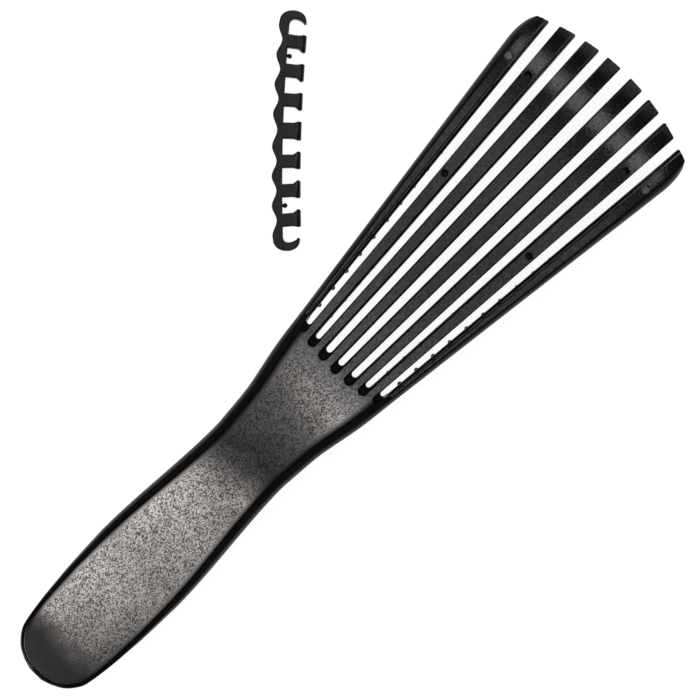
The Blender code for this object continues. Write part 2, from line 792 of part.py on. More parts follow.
def settle(brush, clip_rest, front, pins, clip):
    """Lay the brush and the clip on one surface, with the middle of both at the origin."""
    tilt = rest_tilt(world_points([front]), world_points(pins))
    brush.rotation_euler = (0.0, -tilt, 0.0)
    clip_rest.location = (handle_length + clip_along, clip_aside, 0.0)
    clip_rest.rotation_euler = (0.0, 0.0, clip_turn)
    brush_points = world_points([front] + pins)
    clip_points = world_points([clip])
    both = np.vstack((brush_points, clip_points))
    middle = (both.min(axis=0) + both.max(axis=0)) / 2
    brush.location = (-middle[0], -middle[1], -brush_points[:, 2].min())
    clip_rest.location -= Vector((middle[0], middle[1], 0.0))
    bpy.context.view_layer.update()
    print("rest tilt in degrees", round(math.degrees(tilt), 3))


def main():
    for obj in list(bpy.data.objects):
        bpy.data.objects.remove(obj, do_unlink=True)
    make_material("cutter", (0.5, 0.5, 0.5), 0.5)
    black = (0.012, 0.012, 0.013)
    charcoal = (0.035, 0.034, 0.034)
    gloss = make_material("gloss black moulding", black, 0.22)
    textured = make_material("spark textured back", charcoal, 0.5)
    rail_look = make_material("gloss rib rail", black, 0.3)
    pin_look = make_material("flexible pins", black, 0.35)
    clip_look = make_material("clip", (0.02, 0.02, 0.021), 0.45)

    brush = add_empty("brush_rest", None, (0, 0, 0))
    clip_rest = add_empty("clip_rest", None, (0, 0, 0))
    front = build_handle(brush, gloss, textured)
    ribs = []
    for number in range(1, rib_count + 1):
        outer = number in (1, rib_count)
        ribs.append(build_rib(number, brush, gloss if outer else textured, rail_look, pin_look))
    clip = build_clip(clip_rest, clip_look)
    backs = [bpy.data.objects[f"rib_back_{number}"] for number in range(1, rib_count + 1)]
    fronts = [bpy.data.objects[f"rib_front_{number}"] for number in range(1, rib_count + 1)]
    settle(brush, clip_rest, front, [pins for pins, _, _ in ribs] + backs + fronts, clip)

    turn = brush.matrix_world.to_3x3()
    for number, (_, hinge, axis) in enumerate(ribs, 1):
        at = hinge.matrix_world.translation
        print("hinge", number, [round(v, 6) for v in at], [round(v, 6) for v in turn @ axis])
    flat = place((end_bend_length + grip_length) / 2, 0.0, back_thickness)
    print("panel", [round(v, 6) for v in brush.matrix_world @ flat])
    print("clip", [round(v, 6) for v in clip_rest.matrix_world.translation])


main()
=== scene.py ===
# %% [markdown]
# A flexible detangling brush with eight separate ribs, and its loose connector clip. The brush is
# made of two black mouldings with strips of ball-tipped pins held between them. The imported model
# gives the pieces' places and joints. This lesson gives each visible piece its fine shape and finish.

# %% Load the frame
import json
import math

import bmesh
import bpy
from mathutils import Matrix, Vector


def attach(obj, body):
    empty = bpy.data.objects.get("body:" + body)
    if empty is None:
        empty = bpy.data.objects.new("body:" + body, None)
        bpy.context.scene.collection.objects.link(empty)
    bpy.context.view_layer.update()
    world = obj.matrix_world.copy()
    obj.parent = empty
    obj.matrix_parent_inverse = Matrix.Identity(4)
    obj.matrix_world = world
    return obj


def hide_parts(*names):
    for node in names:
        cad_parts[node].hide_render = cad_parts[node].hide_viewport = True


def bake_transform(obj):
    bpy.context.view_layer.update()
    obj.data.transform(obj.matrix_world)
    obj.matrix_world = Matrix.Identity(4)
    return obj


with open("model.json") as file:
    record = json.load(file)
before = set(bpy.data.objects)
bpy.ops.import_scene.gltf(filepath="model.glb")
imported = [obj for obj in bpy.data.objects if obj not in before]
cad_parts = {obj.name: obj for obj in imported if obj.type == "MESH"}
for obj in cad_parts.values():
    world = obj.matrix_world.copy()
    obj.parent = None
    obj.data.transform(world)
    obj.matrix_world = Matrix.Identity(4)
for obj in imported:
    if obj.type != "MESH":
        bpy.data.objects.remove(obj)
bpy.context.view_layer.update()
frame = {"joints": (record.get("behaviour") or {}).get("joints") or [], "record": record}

record = frame["record"]

# %% [markdown]
# The brush is easiest to model flat: x along it from the handle's end, y across, and h the height
# above the seam between its two mouldings. One function then bends every flat piece into the real
# curves. The sizes are the real ones, in metres.

# %% Sizes of the flat layout
mm = 0.001
handle_length = 127.8 * mm
rib_length = 112.2 * mm
brush_length = handle_length + rib_length
grip_length = 88 * mm
tip_arc_radius = 75 * mm
grip_width, neck_width = 30.6 * mm, 25.8 * mm
end_rim = 1.05 * mm
side_rims = (0.45 * mm, 0.95 * mm, 2.05 * mm, 2.7 * mm, 2.75 * mm, 3.25 * mm)
rib_root_width, rib_tip_width = 2.85 * mm, 4.8 * mm
slot_root_width, slot_tip_width = 2.0 * mm, 3.3 * mm
root_clearance = 0.3 * mm
back_thickness, rail_foot = 1.8 * mm, -3.2 * mm
grip_depth, neck_depth = 8.6 * mm, 7.0 * mm
print("brush length in mm:", round(brush_length / mm, 1))

# %% [markdown]
# Proportions give the outlines their shape. Each table pairs a share of a length with a share of
# the width or depth there, and rim_shares are the places of the gloss rim's widths. The ribs and
# slots of a fan aren't quite even, so each pair has shares of its own, at its root and at its tip.

# %% Proportions
widest_share = 0.48
outline_shares = (
    (0.0, 0.2), (0.02, 0.392), (0.068, 0.592), (0.156, 0.772), (0.223, 0.83),
    (0.362, 0.888), (0.5, 0.927), (0.7, 0.970), (1.0, 1.0),
)
shoulder_shares = (
    (0.0, 0.0), (0.317, 0.197), (0.46, 0.382), (0.603, 0.597), (0.746, 0.778), (1.0, 1.0),
)
rim_shares = (0.0, 0.14, 0.34, 0.55, 0.75, 0.91, 1.0)
depth_shares = ((0.0, 0.36), (0.026, 0.50), (0.095, 0.70), (0.227, 0.86), (0.5, 0.97), (1.0, 1.0))
rib_root_shares = (1.07, 0.99, 0.99, 0.937)
rib_tip_shares = (0.99, 0.996, 1.037, 1.365)
slot_root_shares = (1.05, 1.105, 0.975, 0.955)
slot_tip_shares = (1.25, 0.97, 1.0, 1.118)
pairs = len(rib_root_shares)
outer_pair = pairs - 1
print("ribs:", 2 * pairs)

# %% [markdown]
# Three short functions run between values: a straight mix, a smooth step, and a smooth curve
# through a few chosen points, which is enough for the outline of a moulded handle.

# %% Between values


def mix(low, high, share):
    return low + (high - low) * share


def ease(share):
    """Smooth step from 0 to 1."""
    share = min(max(share, 0.0), 1.0)
    return share * share * (3 - 2 * share)


def curve_through(table, at):
    """Value at a place, on a smooth curve through a table of (place, value)."""
    places, values = zip(*table)
    at = min(max(at, places[0]), places[-1])
    last = len(table) - 1
    k = next(i for i in range(last) if at <= places[i + 1])
    span = places[k + 1] - places[k]
    s = (at - places[k]) / span
    slopes = []
    for i in (k, k + 1):
        low, high = max(i - 1, 0), min(i + 1, last)
        slopes.append(span * (values[high] - values[low]) / (places[high] - places[low]))
    bow = slopes[0] * s * (1 - s) ** 2 - slopes[1] * s * s * (1 - s)
    return mix(values[k], values[k + 1], ease(s)) + bow


# %% [markdown]
# The ribs' edges are straight lines that fan out from the rib line, where the handle ends, and
# their tips lie on an arc. The ribs are counted in pairs from the middle outwards, because the
# brush is symmetric.

# %% Edges of the ribs


def rib_edges(pair, x):
    """Inner and outer edge of a rib, measured from the middle of the brush."""
    share = (x - handle_length) / rib_length
    edge = 0.0
    for k in range(pair + 1):
        slot = mix(slot_root_width * slot_root_shares[k], slot_tip_width * slot_tip_shares[k], share)
        inner = edge + (slot if k else slot / 2)
        edge = inner + mix(rib_root_width * rib_root_shares[k], rib_tip_width * rib_tip_shares[k], share)
    return inner, edge


def tip_x(y):
    """The arc on which the ribs end."""
    return brush_length - tip_arc_radius + math.sqrt(tip_arc_radius ** 2 - y * y)


print("width of the fan at its tips in mm:", round(2 * rib_edges(outer_pair, brush_length)[1] / mm, 1))

# %% [markdown]
# The handle has a rounded end, a widest place, a waist at the neck and a shoulder that runs out
# into the ribs. The textured panel lies inside a gloss rim, which is narrow along the grip and
# grows wider towards the shoulder.

# %% Widths and depths of the handle


def half_width(x):
    widest = grip_length * widest_share
    if x <= widest:
        return grip_width / 2 * curve_through(outline_shares, x / widest)
    if x <= grip_length:
        return mix(grip_width, neck_width, ease((x - widest) / (grip_length - widest))) / 2
    root = rib_edges(outer_pair, handle_length)[1]
    return mix(neck_width / 2, root,
               curve_through(shoulder_shares, (x - grip_length) / (handle_length - grip_length)))


def panel_half_width(x, grow=0.0):
    """Half the width of the textured panel inside its gloss rim."""
    start = end_rim - grow
    outside = half_width(max(x - start, 0.0) * handle_length / (handle_length - start))
    inner, outer = rib_edges(outer_pair, handle_length)
    rims = zip(rim_shares, side_rims + (outer - inner + root_clearance,))
    return outside - curve_through(list(rims), x / handle_length) + grow


def handle_depth(x):
    widest = grip_length * widest_share
    if x <= widest:
        return grip_depth * curve_through(depth_shares, x / widest)
    if x <= grip_length:
        return mix(grip_depth, neck_depth, ease((x - widest) / (grip_length - widest)))
    return mix(neck_depth, -rail_foot, ease((x - grip_length) / (handle_length - grip_length)))


print("widest place of the grip in mm:", round(2 * half_width(grip_length * widest_share) / mm, 1))

# %% [markdown]
# The side view is a line that drops at the ribs' tips, slopes down along the handle and curves
# down again at its end. The head also arches across. Bending a flat model keeps every wall as
# thick as it was drawn, which is how such thin mouldings look.

# %% Bend a flat point into the brush's curves
tip_bend_length, tip_bend_radius = 34 * mm, 90 * mm
neck_bend_start, neck_bend_radius = 15.5 * mm, 600 * mm
handle_slope = math.radians(3.5)
end_bend_length, end_bend_radius = 24 * mm, 110 * mm
head_crown_radius = 160 * mm


def side_line(x):
    """Height and slope of the seam in the side view."""
    bend_x = brush_length - tip_bend_length
    if x > bend_x:
        turn = math.asin((x - bend_x) / tip_bend_radius)
        return -tip_bend_radius * (1 - math.cos(turn)), -math.tan(turn)
    start_x = handle_length - neck_bend_start
    if x > start_x:
        return 0.0, 0.0
    line_x = start_x - neck_bend_radius * math.sin(handle_slope)
    if x > line_x:
        turn = math.asin((start_x - x) / neck_bend_radius)
        return -neck_bend_radius * (1 - math.cos(turn)), math.tan(turn)
    height = -neck_bend_radius * (1 - math.cos(handle_slope)) - (line_x - x) * math.tan(handle_slope)
    turn = math.asin(max(end_bend_length - x, 0.0) / end_bend_radius)
    return height - end_bend_radius * (1 - math.cos(turn)), math.tan(handle_slope) + math.tan(turn)


def crown(x):
    """Curvature across the back: none on the grip, full on the head."""
    return ease((x - grip_length) / (handle_length - grip_length)) / head_crown_radius


def place(x, y, h):
    """A point of the flat layout, bent into the brush's curves."""
    height, slope = side_line(x)
    bend = crown(x)
    return Vector((x, y + h * bend * y, height + h * math.sqrt(1 + slope * slope) - bend * y * y / 2))


# %% [markdown]
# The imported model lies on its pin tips, tilted a little. The tilt is read from the flat panel's
# mount, and the place from the joints of the two middle ribs, so this scene follows the frame.

# %% Where the brush and the clip lie
panel_normal = Vector(next(m["axis"] for m in record["mounts"] if m["name"] == "back_panel"))
tilt = math.atan2(-panel_normal.x, panel_normal.z) - handle_slope
turned = Matrix.Rotation(-tilt, 4, "Y")
hinges = {j["child"]: Vector(j["pos_m"]) for j in frame["joints"] if j["type"] == "hinge"}
middle_hinge = (hinges["rib_4"] + hinges["rib_5"]) / 2
root_gap = 0.5 * mm
inner, outer = rib_edges(0, handle_length + root_gap / 2)
flat_hinge = place(handle_length + root_gap / 2, (inner + outer) / 2, (back_thickness + rail_foot) / 2)
flat_hinge.y = 0.0
brush_rest = Matrix.Translation(middle_hinge - turned @ flat_hinge) @ turned
clip_turn = math.radians(42.75)
clip_along, clip_aside = 33.45 * mm, 57.8 * mm
clip_rest = Matrix.Translation((brush_rest.translation.x + handle_length + clip_along,
                                brush_rest.translation.y + clip_aside, 0.0))
clip_rest @= Matrix.Rotation(clip_turn, 4, "Z")
print("rest tilt in degrees:", round(math.degrees(tilt), 3))

# %% [markdown]
# The photograph looks straight down on the back of the brush, which lies at about 46 degrees in
# the picture. A long lens far above keeps the ribs' sides as thin as they look there.

# %% Camera


def add_object(name, data):
    made = bpy.data.objects.new(name, data)
    bpy.context.scene.collection.objects.link(made)
    return made


camera_distance = 0.8
sensor_width = 36.0
frame_width = 0.1971
picture_turn = math.radians(-45.5)
aim_x, aim_y = 129.1 * mm, 0.78 * mm
aim = brush_rest @ place(aim_x, aim_y, back_thickness)
camera_data = bpy.data.cameras.new("camera")
camera_data.sensor_width = sensor_width
camera_data.lens = sensor_width * camera_distance / frame_width
camera = add_object("camera", camera_data)
camera.location = aim + Vector((0, 0, camera_distance))
camera.rotation_euler = (0, 0, picture_turn)
bpy.context.scene.camera = camera
bpy.context.scene.view_settings.view_transform = "Standard"
print("lens in mm:", round(camera_data.lens, 1))

# %% [markdown]
# Materials are small node trees. Helpers make the nodes and join them, so that each finish below
# reads as a list of what it is made of. Patterns on Object coordinates stay fixed to the brush,
# because every piece keeps its origin at the world's origin.

# %% Nodes of a finish


def new_finish(name, colour, roughness):
    """A Principled material and its node tree."""
    material = bpy.data.materials.new(name)
    material.use_nodes = True
    tree = material.node_tree
    shader = tree.nodes["Principled BSDF"]
    shader.inputs["Base Color"].default_value = (*colour, 1)
    shader.inputs["Roughness"].default_value = roughness
    return material, tree, shader


def node(tree, kind, **settings):
    made = tree.nodes.new(kind)
    for key, value in settings.items():
        setattr(made, key, value)
    return made


def brush_coordinates(tree, shift=(0, 0, 0)):
    """Object coordinates, moved so that x is the distance from the handle's end."""
    source = node(tree, "ShaderNodeTexCoord")
    mapping = node(tree, "ShaderNodeMapping")
    mapping.inputs["Location"].default_value = Vector(shift) - brush_rest.translation
    tree.links.new(source.outputs["Object"], mapping.inputs["Vector"])
    return mapping.outputs["Vector"]


# %% [markdown]
# Two patterns are enough for moulded plastic: a noise for smears and ripples, and small cells for
# the grains of a texture. A ramp turns such a value into a grey or a colour.

# %% Patterns and ramps


def noise(tree, vector, scale, detail=2.0, roughness=0.5):
    made = node(tree, "ShaderNodeTexNoise")
    made.inputs["Scale"].default_value = scale
    made.inputs["Detail"].default_value = detail
    made.inputs["Roughness"].default_value = roughness
    tree.links.new(vector, made.inputs["Vector"])
    return made.outputs["Fac"]


def facets(tree, vector, scale):
    """Small cells: a random shade for each one, and the distance from its middle."""
    made = node(tree, "ShaderNodeTexVoronoi")
    made.inputs["Scale"].default_value = scale
    tree.links.new(vector, made.inputs["Vector"])
    shade = node(tree, "ShaderNodeSeparateColor")
    tree.links.new(made.outputs["Color"], shade.inputs[0])
    return shade.outputs[0], made.outputs["Distance"]


def ramp(tree, value, stops):
    """Colours by value: each stop is (place, grey) or (place, (r, g, b))."""
    made = node(tree, "ShaderNodeValToRGB")
    elements = made.color_ramp.elements
    while len(elements) < len(stops):
        elements.new(0.5)
    for element, (at, colour) in zip(elements, stops):
        element.position = at
        element.color = (*colour, 1) if isinstance(colour, tuple) else (colour, colour, colour, 1)
    tree.links.new(value, made.inputs["Fac"])
    return made.outputs["Color"]


# %% [markdown]
# These nodes mix two inputs, and each input may be a plain value or another node's output.

# %% Mixing


def feed(tree, sockets, values):
    """Give each socket a value, or a link where the value is another node's output."""
    for socket, value in zip(sockets, values):
        if isinstance(value, bpy.types.NodeSocket):
            tree.links.new(value, socket)
        else:
            socket.default_value = value


def blend_colours(tree, how, factor, first, second):
    made = node(tree, "ShaderNodeMix", data_type="RGBA", blend_type=how)
    feed(tree, (made.inputs[0], made.inputs[6], made.inputs[7]), (factor, first, second))
    return made.outputs[2]


def multiply(tree, *colours):
    """The product of some colours or greys."""
    product = colours[0]
    for colour in colours[1:]:
        product = blend_colours(tree, "MULTIPLY", 1.0, product, colour)
    return product


def maths(tree, operation, first, second):
    made = node(tree, "ShaderNodeMath", operation=operation)
    feed(tree, made.inputs, (first, second))
    return made.outputs[0]


# %% [markdown]
# A bump node tilts the shading of a flat face, which is enough for a fine grain. The finish of the
# brush changes from end to end, so a grey can also be read from the place along it.

# %% Bump, and greys along the brush


def add_bump(tree, shader, height, strength, distance):
    bump = node(tree, "ShaderNodeBump")
    bump.inputs["Strength"].default_value = strength
    bump.inputs["Distance"].default_value = distance
    tree.links.new(height, bump.inputs["Height"])
    tree.links.new(bump.outputs["Normal"], shader.inputs["Normal"])


def along_brush(tree, place_along, stops):
    """A grey that changes along the brush: each stop is (millimetres from the handle's end, grey)."""
    scaled = maths(tree, "DIVIDE", place_along, brush_length)
    return ramp(tree, scaled, [(at * mm / brush_length, grey) for at, grey in stops])


# %% [markdown]
# The lower moulding is polished black plastic. Real gloss is never perfect: a slow noise changes
# its roughness, as fingers and polishing do, and a very fine one ripples it.

# %% Gloss black moulding


def gloss_black():
    material, tree, shader = new_finish("gloss black moulding", (0.003, 0.003, 0.0032), 0.25)
    vector = brush_coordinates(tree)
    smears = ramp(tree, noise(tree, vector, 90, 4, 0.6), [(0.3, 0.2), (0.7, 0.33)])
    tree.links.new(smears, shader.inputs["Roughness"])
    add_bump(tree, shader, noise(tree, vector, 900, 2), 0.06, 0.05 * mm)
    shader.inputs["IOR"].default_value = 1.49
    return material


gloss_finish = gloss_black()

# %% [markdown]
# The back has a spark texture: the steel mould was eroded by sparks, so the plastic has sharp
# grains about 0.3 mm apart that catch the light. One table paints light and shade along the brush:
# a painted sheen, pale on the grip and at the shoulder, painted shade, dark at the neck, on the
# ribs and where both ends bend down, and a painted highlight at the very tips. A second table
# paints one side lighter than the other, as painted light falling from that side.

# %% Painted light and shade along the brush
# Painted sheen, shade and highlight along the brush: (millimetres from the handle's end, grey).
painted_light_tones = [(0, 0.022), (5, 0.015), (8, 0.015), (11, 0.036), (14, 0.085), (17, 0.17), (23, 0.185),
         (35, 0.25), (46, 0.21), (55, 0.265), (66, 0.275), (73, 0.22), (79, 0.09),
         (83, 0.033), (88, 0.018), (96, 0.032), (103, 0.055), (109, 0.104), (113, 0.152), (116, 0.132),
         (121, 0.082), (124, 0.05), (130, 0.043), (140, 0.037), (157, 0.024), (174, 0.021), (191, 0.025),
         (206, 0.022), (213, 0.011), (228, 0.005), (234, 0.004), (239.5, 0.03)]
# Painted side light: along the brush, how much lighter one side is and how much darker the other.
painted_side_shares = [(0, 0.0), (8, 0.1), (11, 0.25), (15, 0.55), (21, 0.5), (33, 0.36), (44, 0.22), (70, 0.28),
               (77, 0.05), (88, 0.15), (98, 0.1), (105, -0.28), (112, -0.36), (118, -0.22), (124, 0.0)]
print("palest grey along the brush:", max(grey for at, grey in painted_light_tones))

# %% [markdown]
# Round marks are shaded by the distance from their middles. The panel has faint rings, where the
# mould's pins pushed it out. Each outer rib has a filled hole near its tip, and a painted highlight
# makes its round spot paler.

# %% Round marks
mark_radius = 1.2 * mm
panel_mark_x = 120 * mm
tip_hole_x = brush_length - 20.4 * mm


def round_marks(tree, x, y, middles, stops):
    """Round marks on both halves, shaded by how far the nearest middle is."""
    flat = node(tree, "ShaderNodeCombineXYZ")
    tree.links.new(x, flat.inputs[0])
    tree.links.new(maths(tree, "ABSOLUTE", y, 0), flat.inputs[1])
    nearest = 1.0
    for middle in middles:
        reach = node(tree, "ShaderNodeVectorMath", operation="DISTANCE")
        tree.links.new(flat.outputs[0], reach.inputs[0])
        reach.inputs[1].default_value = (*middle, 0)
        nearest = maths(tree, "MINIMUM", reach.outputs["Value"], nearest)
    return ramp(tree, maths(tree, "DIVIDE", nearest, 2 * mark_radius), stops)


def ejector_rings(tree, x, y):
    """Faint rings behind the roots of the inner ribs."""
    middles = [(panel_mark_x, sum(rib_edges(pair, handle_length)) / 2) for pair in range(outer_pair)]
    stops = [(0.25, 1.0), (0.4, 0.85), (0.5, 1.4), (0.6, 1.35), (0.72, 1.0)]
    return round_marks(tree, x, y, middles, stops)


def filled_hole_highlights(tree, x, y):
    """A painted highlight: a paler round spot on the filled hole near each outer rib's tip."""
    middle = (tip_hole_x, mix(*rib_edges(outer_pair, tip_hole_x), 0.4))
    return round_marks(tree, x, y, [middle], [(0.3, 9.0), (0.42, 6.0), (0.5, 0.4), (0.58, 1.0)])


# %% [markdown]
# The panel is painted darker near its rounded edge: painted shade, where the edge curves away from
# the light. The distance from that edge comes from a ramp that holds the panel's half width along
# the brush, less the distance from the middle.

# %% Distance from the rim
rim_places = (0.01, 0.02, 0.035, 0.06, 0.1, 0.16, 0.24, 0.32, 0.4, 0.48, 0.56, 0.62, 0.68, 0.73, 0.78,
              0.83, 0.88, 0.93, 0.97)


def distance_from_rim(tree, x, y):
    """Millimetres from the panel's edge inwards, from a ramp that holds the panel's half width."""
    full = 40 * mm
    stops = [(at, panel_half_width(at * handle_length) / full) for at in rim_places]
    half = ramp(tree, maths(tree, "DIVIDE", x, handle_length), stops + [(0.99, 1.0)])
    across = maths(tree, "DIVIDE", maths(tree, "ABSOLUTE", y, 0), full)
    return maths(tree, "MULTIPLY", maths(tree, "SUBTRACT", half, across), full / mm)


# %% [markdown]
# Two slow changes lie over the back. One side of it is painted lighter than the other, as painted
# light falling from that side, and its tint is a little warmer in some patches of the handle than
# in others.

# %% Painted side light and warm patches
slant_width = 9.5 * mm


def painted_side_light(tree, x, y):
    """Painted side light: more than 1 on the lit side of the brush, and less than 1 on the other."""
    slant = along_brush(tree, x, [(at, 0.5 + share / 2) for at, share in painted_side_shares])
    slant = maths(tree, "MULTIPLY", maths(tree, "SUBTRACT", slant, 0.5),
                  maths(tree, "DIVIDE", y, slant_width / 2))
    return maths(tree, "ADD", slant, 1.0)


def warm_patches(tree, vector, x):
    """A tint that wanders on the handle and is even on the ribs."""
    patches = noise(tree, vector, 110, 4, 0.6)
    tints = ramp(tree, patches, [(0.32, (0.99, 0.93, 0.885)), (0.68, (1.15, 1.07, 1.025))])
    warmth = along_brush(tree, x, [(112, 1.0), (128, 0.0)])
    return blend_colours(tree, "MIX", warmth, (1.0, 1.0, 1.015, 1), tints)


# %% [markdown]
# Now the finish itself. Small cells with a random shade each make the specks, and near the edge
# they fade out. The colour is the painted light and shade along the brush, times the specks, the
# marks with a painted highlight on each filled hole, the painted shade at the edge, the painted
# side light and a slow change of tint. Towards the ribs' tips the finish is smoother.

# %% Spark texture
grain_scale = 3400


def spark_texture():
    material, tree, shader = new_finish("spark textured back", (0.035, 0.034, 0.034), 0.5)
    vector = brush_coordinates(tree)
    split = node(tree, "ShaderNodeSeparateXYZ")
    tree.links.new(vector, split.inputs[0])
    x, y = split.outputs["X"], split.outputs["Y"]

    # Painted light and shade along the brush, its steps softened by a slow noise.
    wander = maths(tree, "SUBTRACT", noise(tree, vector, 60, 3, 0.6), 0.5)
    wander = maths(tree, "MULTIPLY", wander, along_brush(tree, x, [(0, 0.012), (95, 0.012), (115, 0.0)]))
    painted_light_and_shade = along_brush(tree, maths(tree, "ADD", x, wander), painted_light_tones)

    rim = maths(tree, "MULTIPLY", distance_from_rim(tree, x, y),
                along_brush(tree, x, [(0, 0.2), (60, 0.19), (95, 0.15), (128, 0.13)]))
    shade, middle = facets(tree, vector, grain_scale)
    hold = maths(tree, "MULTIPLY", ramp(tree, rim, [(0.14, 0.0), (0.36, 1.0)]),
                 along_brush(tree, x, [(9, 0.3), (17, 1.0), (115, 1.0), (121, 0.7), (126, 0.5)]))
    specks = ramp(tree, shade, [(0.3, 0.2), (0.7, 1.8)])
    grains = blend_colours(tree, "MIX", hold, (1, 1, 1, 1), specks)
    # Painted shade: the panel darkens towards its rounded edge.
    edge = ramp(tree, rim, [(0.0, 0.02), (0.06, 0.05), (0.12, 0.2), (0.17, 0.55), (0.23, 0.9), (0.3, 1.0)])

    colour = multiply(tree, painted_light_and_shade, grains, ejector_rings(tree, x, y), filled_hole_highlights(tree, x, y),
                      edge, painted_side_light(tree, x, y), warm_patches(tree, vector, x))
    tree.links.new(colour, shader.inputs["Base Color"])

    rough = along_brush(tree, x, [(0, 0.4), (20, 0.5), (195, 0.4), (211, 0.25), (218, 0.13), (240, 0.13)])
    tree.links.new(rough, shader.inputs["Roughness"])
    ripples = maths(tree, "MULTIPLY", noise(tree, vector, 1000, 2),
                    along_brush(tree, x, [(212, 0.0), (218, 1.0)]))
    facet_height = maths(tree, "MULTIPLY", middle, along_brush(tree, x, [(206, 1.0), (216, 0.4)]))
    add_bump(tree, shader, maths(tree, "ADD", facet_height, ripples), 0.4, 0.06 * mm)
    return material


spark_finish = spark_texture()
print("nodes of the spark texture:", len(spark_finish.node_tree.nodes))

# %% [markdown]
# The pins are a softer plastic with a dull shine, the rails under the inner ribs have a finer one,
# and the clip is satin with a fine even grain. One function makes all three.

# %% Pins, rails and clip


def satin_black(name, colour, roughness, scale, strength):
    material, tree, shader = new_finish(name, colour, roughness)
    vector = brush_coordinates(tree)
    grain = noise(tree, vector, scale, 3, 0.6)
    low, high = (tuple(c * share for c in colour) for share in (0.75, 1.3))
    tree.links.new(ramp(tree, grain, [(0.35, low), (0.65, high)]), shader.inputs["Base Color"])
    rough = ramp(tree, noise(tree, vector, 150, 3), [(0.3, roughness * 0.85), (0.7, roughness * 1.15)])
    tree.links.new(rough, shader.inputs["Roughness"])
    add_bump(tree, shader, grain, strength, 0.05 * mm)
    return material


pin_finish = satin_black("flexible pins", (0.005, 0.005, 0.0053), 0.35, 1500, 0.1)
rail_finish = satin_black("rib rails", (0.0035, 0.0035, 0.0038), 0.3, 1200, 0.08)
clip_finish = satin_black("satin clip", (0.012, 0.012, 0.0125), 0.45, 2500, 0.25)
print("black finishes:", pin_finish.name, rail_finish.name, clip_finish.name)

# %% [markdown]
# Now the modelling tools. A plate is an outline extruded upwards, a sweep is a section extruded
# from station to station, and a turned body is a profile spun round an axis. Extruding moves whole
# faces, so no list of faces has to be worked out by hand.

# %% Plates, sweeps and turned bodies
merge_distance = 1e-7


def plate(outline, low, high):
    """A flat outline of (x, y) pushed up from one height to another."""
    bm = bmesh.new()
    face = bm.faces.new([bm.verts.new((x, y, low)) for x, y in outline])
    made = bmesh.ops.extrude_face_region(bm, geom=[face])["geom"]
    top = [item for item in made if isinstance(item, bmesh.types.BMVert)]
    bmesh.ops.translate(bm, vec=(0, 0, high - low), verts=top)
    bmesh.ops.recalc_face_normals(bm, faces=bm.faces)
    return bm


def sweep(rings):
    """A section extruded from station to station, its corners moved to each ring of points."""
    bm = bmesh.new()
    face = start = bm.faces.new([bm.verts.new(point) for point in rings[0]])
    for ring in rings[1:]:
        made = bmesh.ops.extrude_face_region(bm, geom=[face])["geom"]
        if face is not start:
            bm.faces.remove(face)
        face = next(item for item in made if isinstance(item, bmesh.types.BMFace))
        for vert, point in zip(face.verts, ring):
            vert.co = point
    bm.normal_update()
    bmesh.ops.recalc_face_normals(bm, faces=bm.faces)
    return bm


def turned_body(profile, x, y, steps):
    """A profile of (radius, height) spun round an upright axis."""
    bm = bmesh.new()
    verts = [bm.verts.new((r, 0, h)) for r, h in profile]
    edges = [bm.edges.new(ends) for ends in zip(verts, verts[1:])]
    bmesh.ops.spin(bm, geom=verts + edges, axis=(0, 0, 1), angle=math.radians(360), steps=steps,
                   use_merge=True)
    bmesh.ops.remove_doubles(bm, verts=bm.verts, dist=merge_distance)
    bmesh.ops.recalc_face_normals(bm, faces=bm.faces)
    bmesh.ops.translate(bm, vec=(x, y, 0), verts=bm.verts)
    return bm


# %% [markdown]
# Holes and slots are cut while a piece is still flat. bmesh has no Boolean operator, so two
# temporary objects and an exact Boolean modifier do it, and are removed again.

# %% Cutting and joining


def temporary_object(bm):
    mesh = bpy.data.meshes.new("temporary")
    bm.to_mesh(mesh)
    bm.free()
    return add_object("temporary", mesh)


def carve(bm, cutter, operation="DIFFERENCE"):
    """Cut one bmesh out of another, and hand back the result."""
    body, tool = temporary_object(bm), temporary_object(cutter)
    modifier = body.modifiers.new("carve", "BOOLEAN")
    modifier.operation = operation
    modifier.solver = "EXACT"
    modifier.object = tool
    carved = bpy.data.meshes.new_from_object(body.evaluated_get(bpy.context.evaluated_depsgraph_get()))
    result = bmesh.new()
    result.from_mesh(carved)
    for made in (body, tool):
        bpy.data.objects.remove(made, do_unlink=True)
    bpy.data.meshes.remove(carved)
    return result


def add_to(bm, other):
    """Add one bmesh to another as a separate body."""
    mesh = bpy.data.meshes.new("temporary")
    other.to_mesh(mesh)
    other.free()
    bm.from_mesh(mesh)
    bpy.data.meshes.remove(mesh)


# %% [markdown]
# Moulded rims are never sharp, so they are bevelled, and a short test picks the edges. Nothing is
# bevelled on the rib line, where a rib runs on from the handle.

# %% Rims
hairline = 0.03 * mm


def round_rims(bm, width, segments, wanted):
    """Bevel the edges that the function wanted picks."""
    bm.normal_update()
    rims = [edge for edge in bm.edges if wanted(edge)]
    bmesh.ops.bevel(bm, geom=rims, offset=width, segments=segments, profile=0.5,
                    affect="EDGES", material=-1, clamp_overlap=True)


def on_rib_line(edge):
    return all(abs(vert.co.x - handle_length) < hairline for vert in edge.verts)


def upper_rim(edge):
    """True for an edge between a top face and a side wall, except on the rib line."""
    if len(edge.link_faces) != 2:
        return False
    ups = [face.normal.z for face in edge.link_faces]
    return max(ups) > 0.9 and min(ups) < 0.5 and not on_rib_line(edge)


# %% [markdown]
# A flat face can only bend where it has edges. So planes cut a piece across in small steps, and
# then each point is bent into place.

# %% Slices


def cut_across(bm, axis, at):
    """Give a piece a line of edges across, where a plane cuts it."""
    normal = Vector((0, 0, 0))
    normal[axis] = 1
    bmesh.ops.bisect_plane(bm, geom=bm.verts[:] + bm.edges[:] + bm.faces[:],
                           plane_co=normal * at, plane_no=normal, dist=merge_distance)


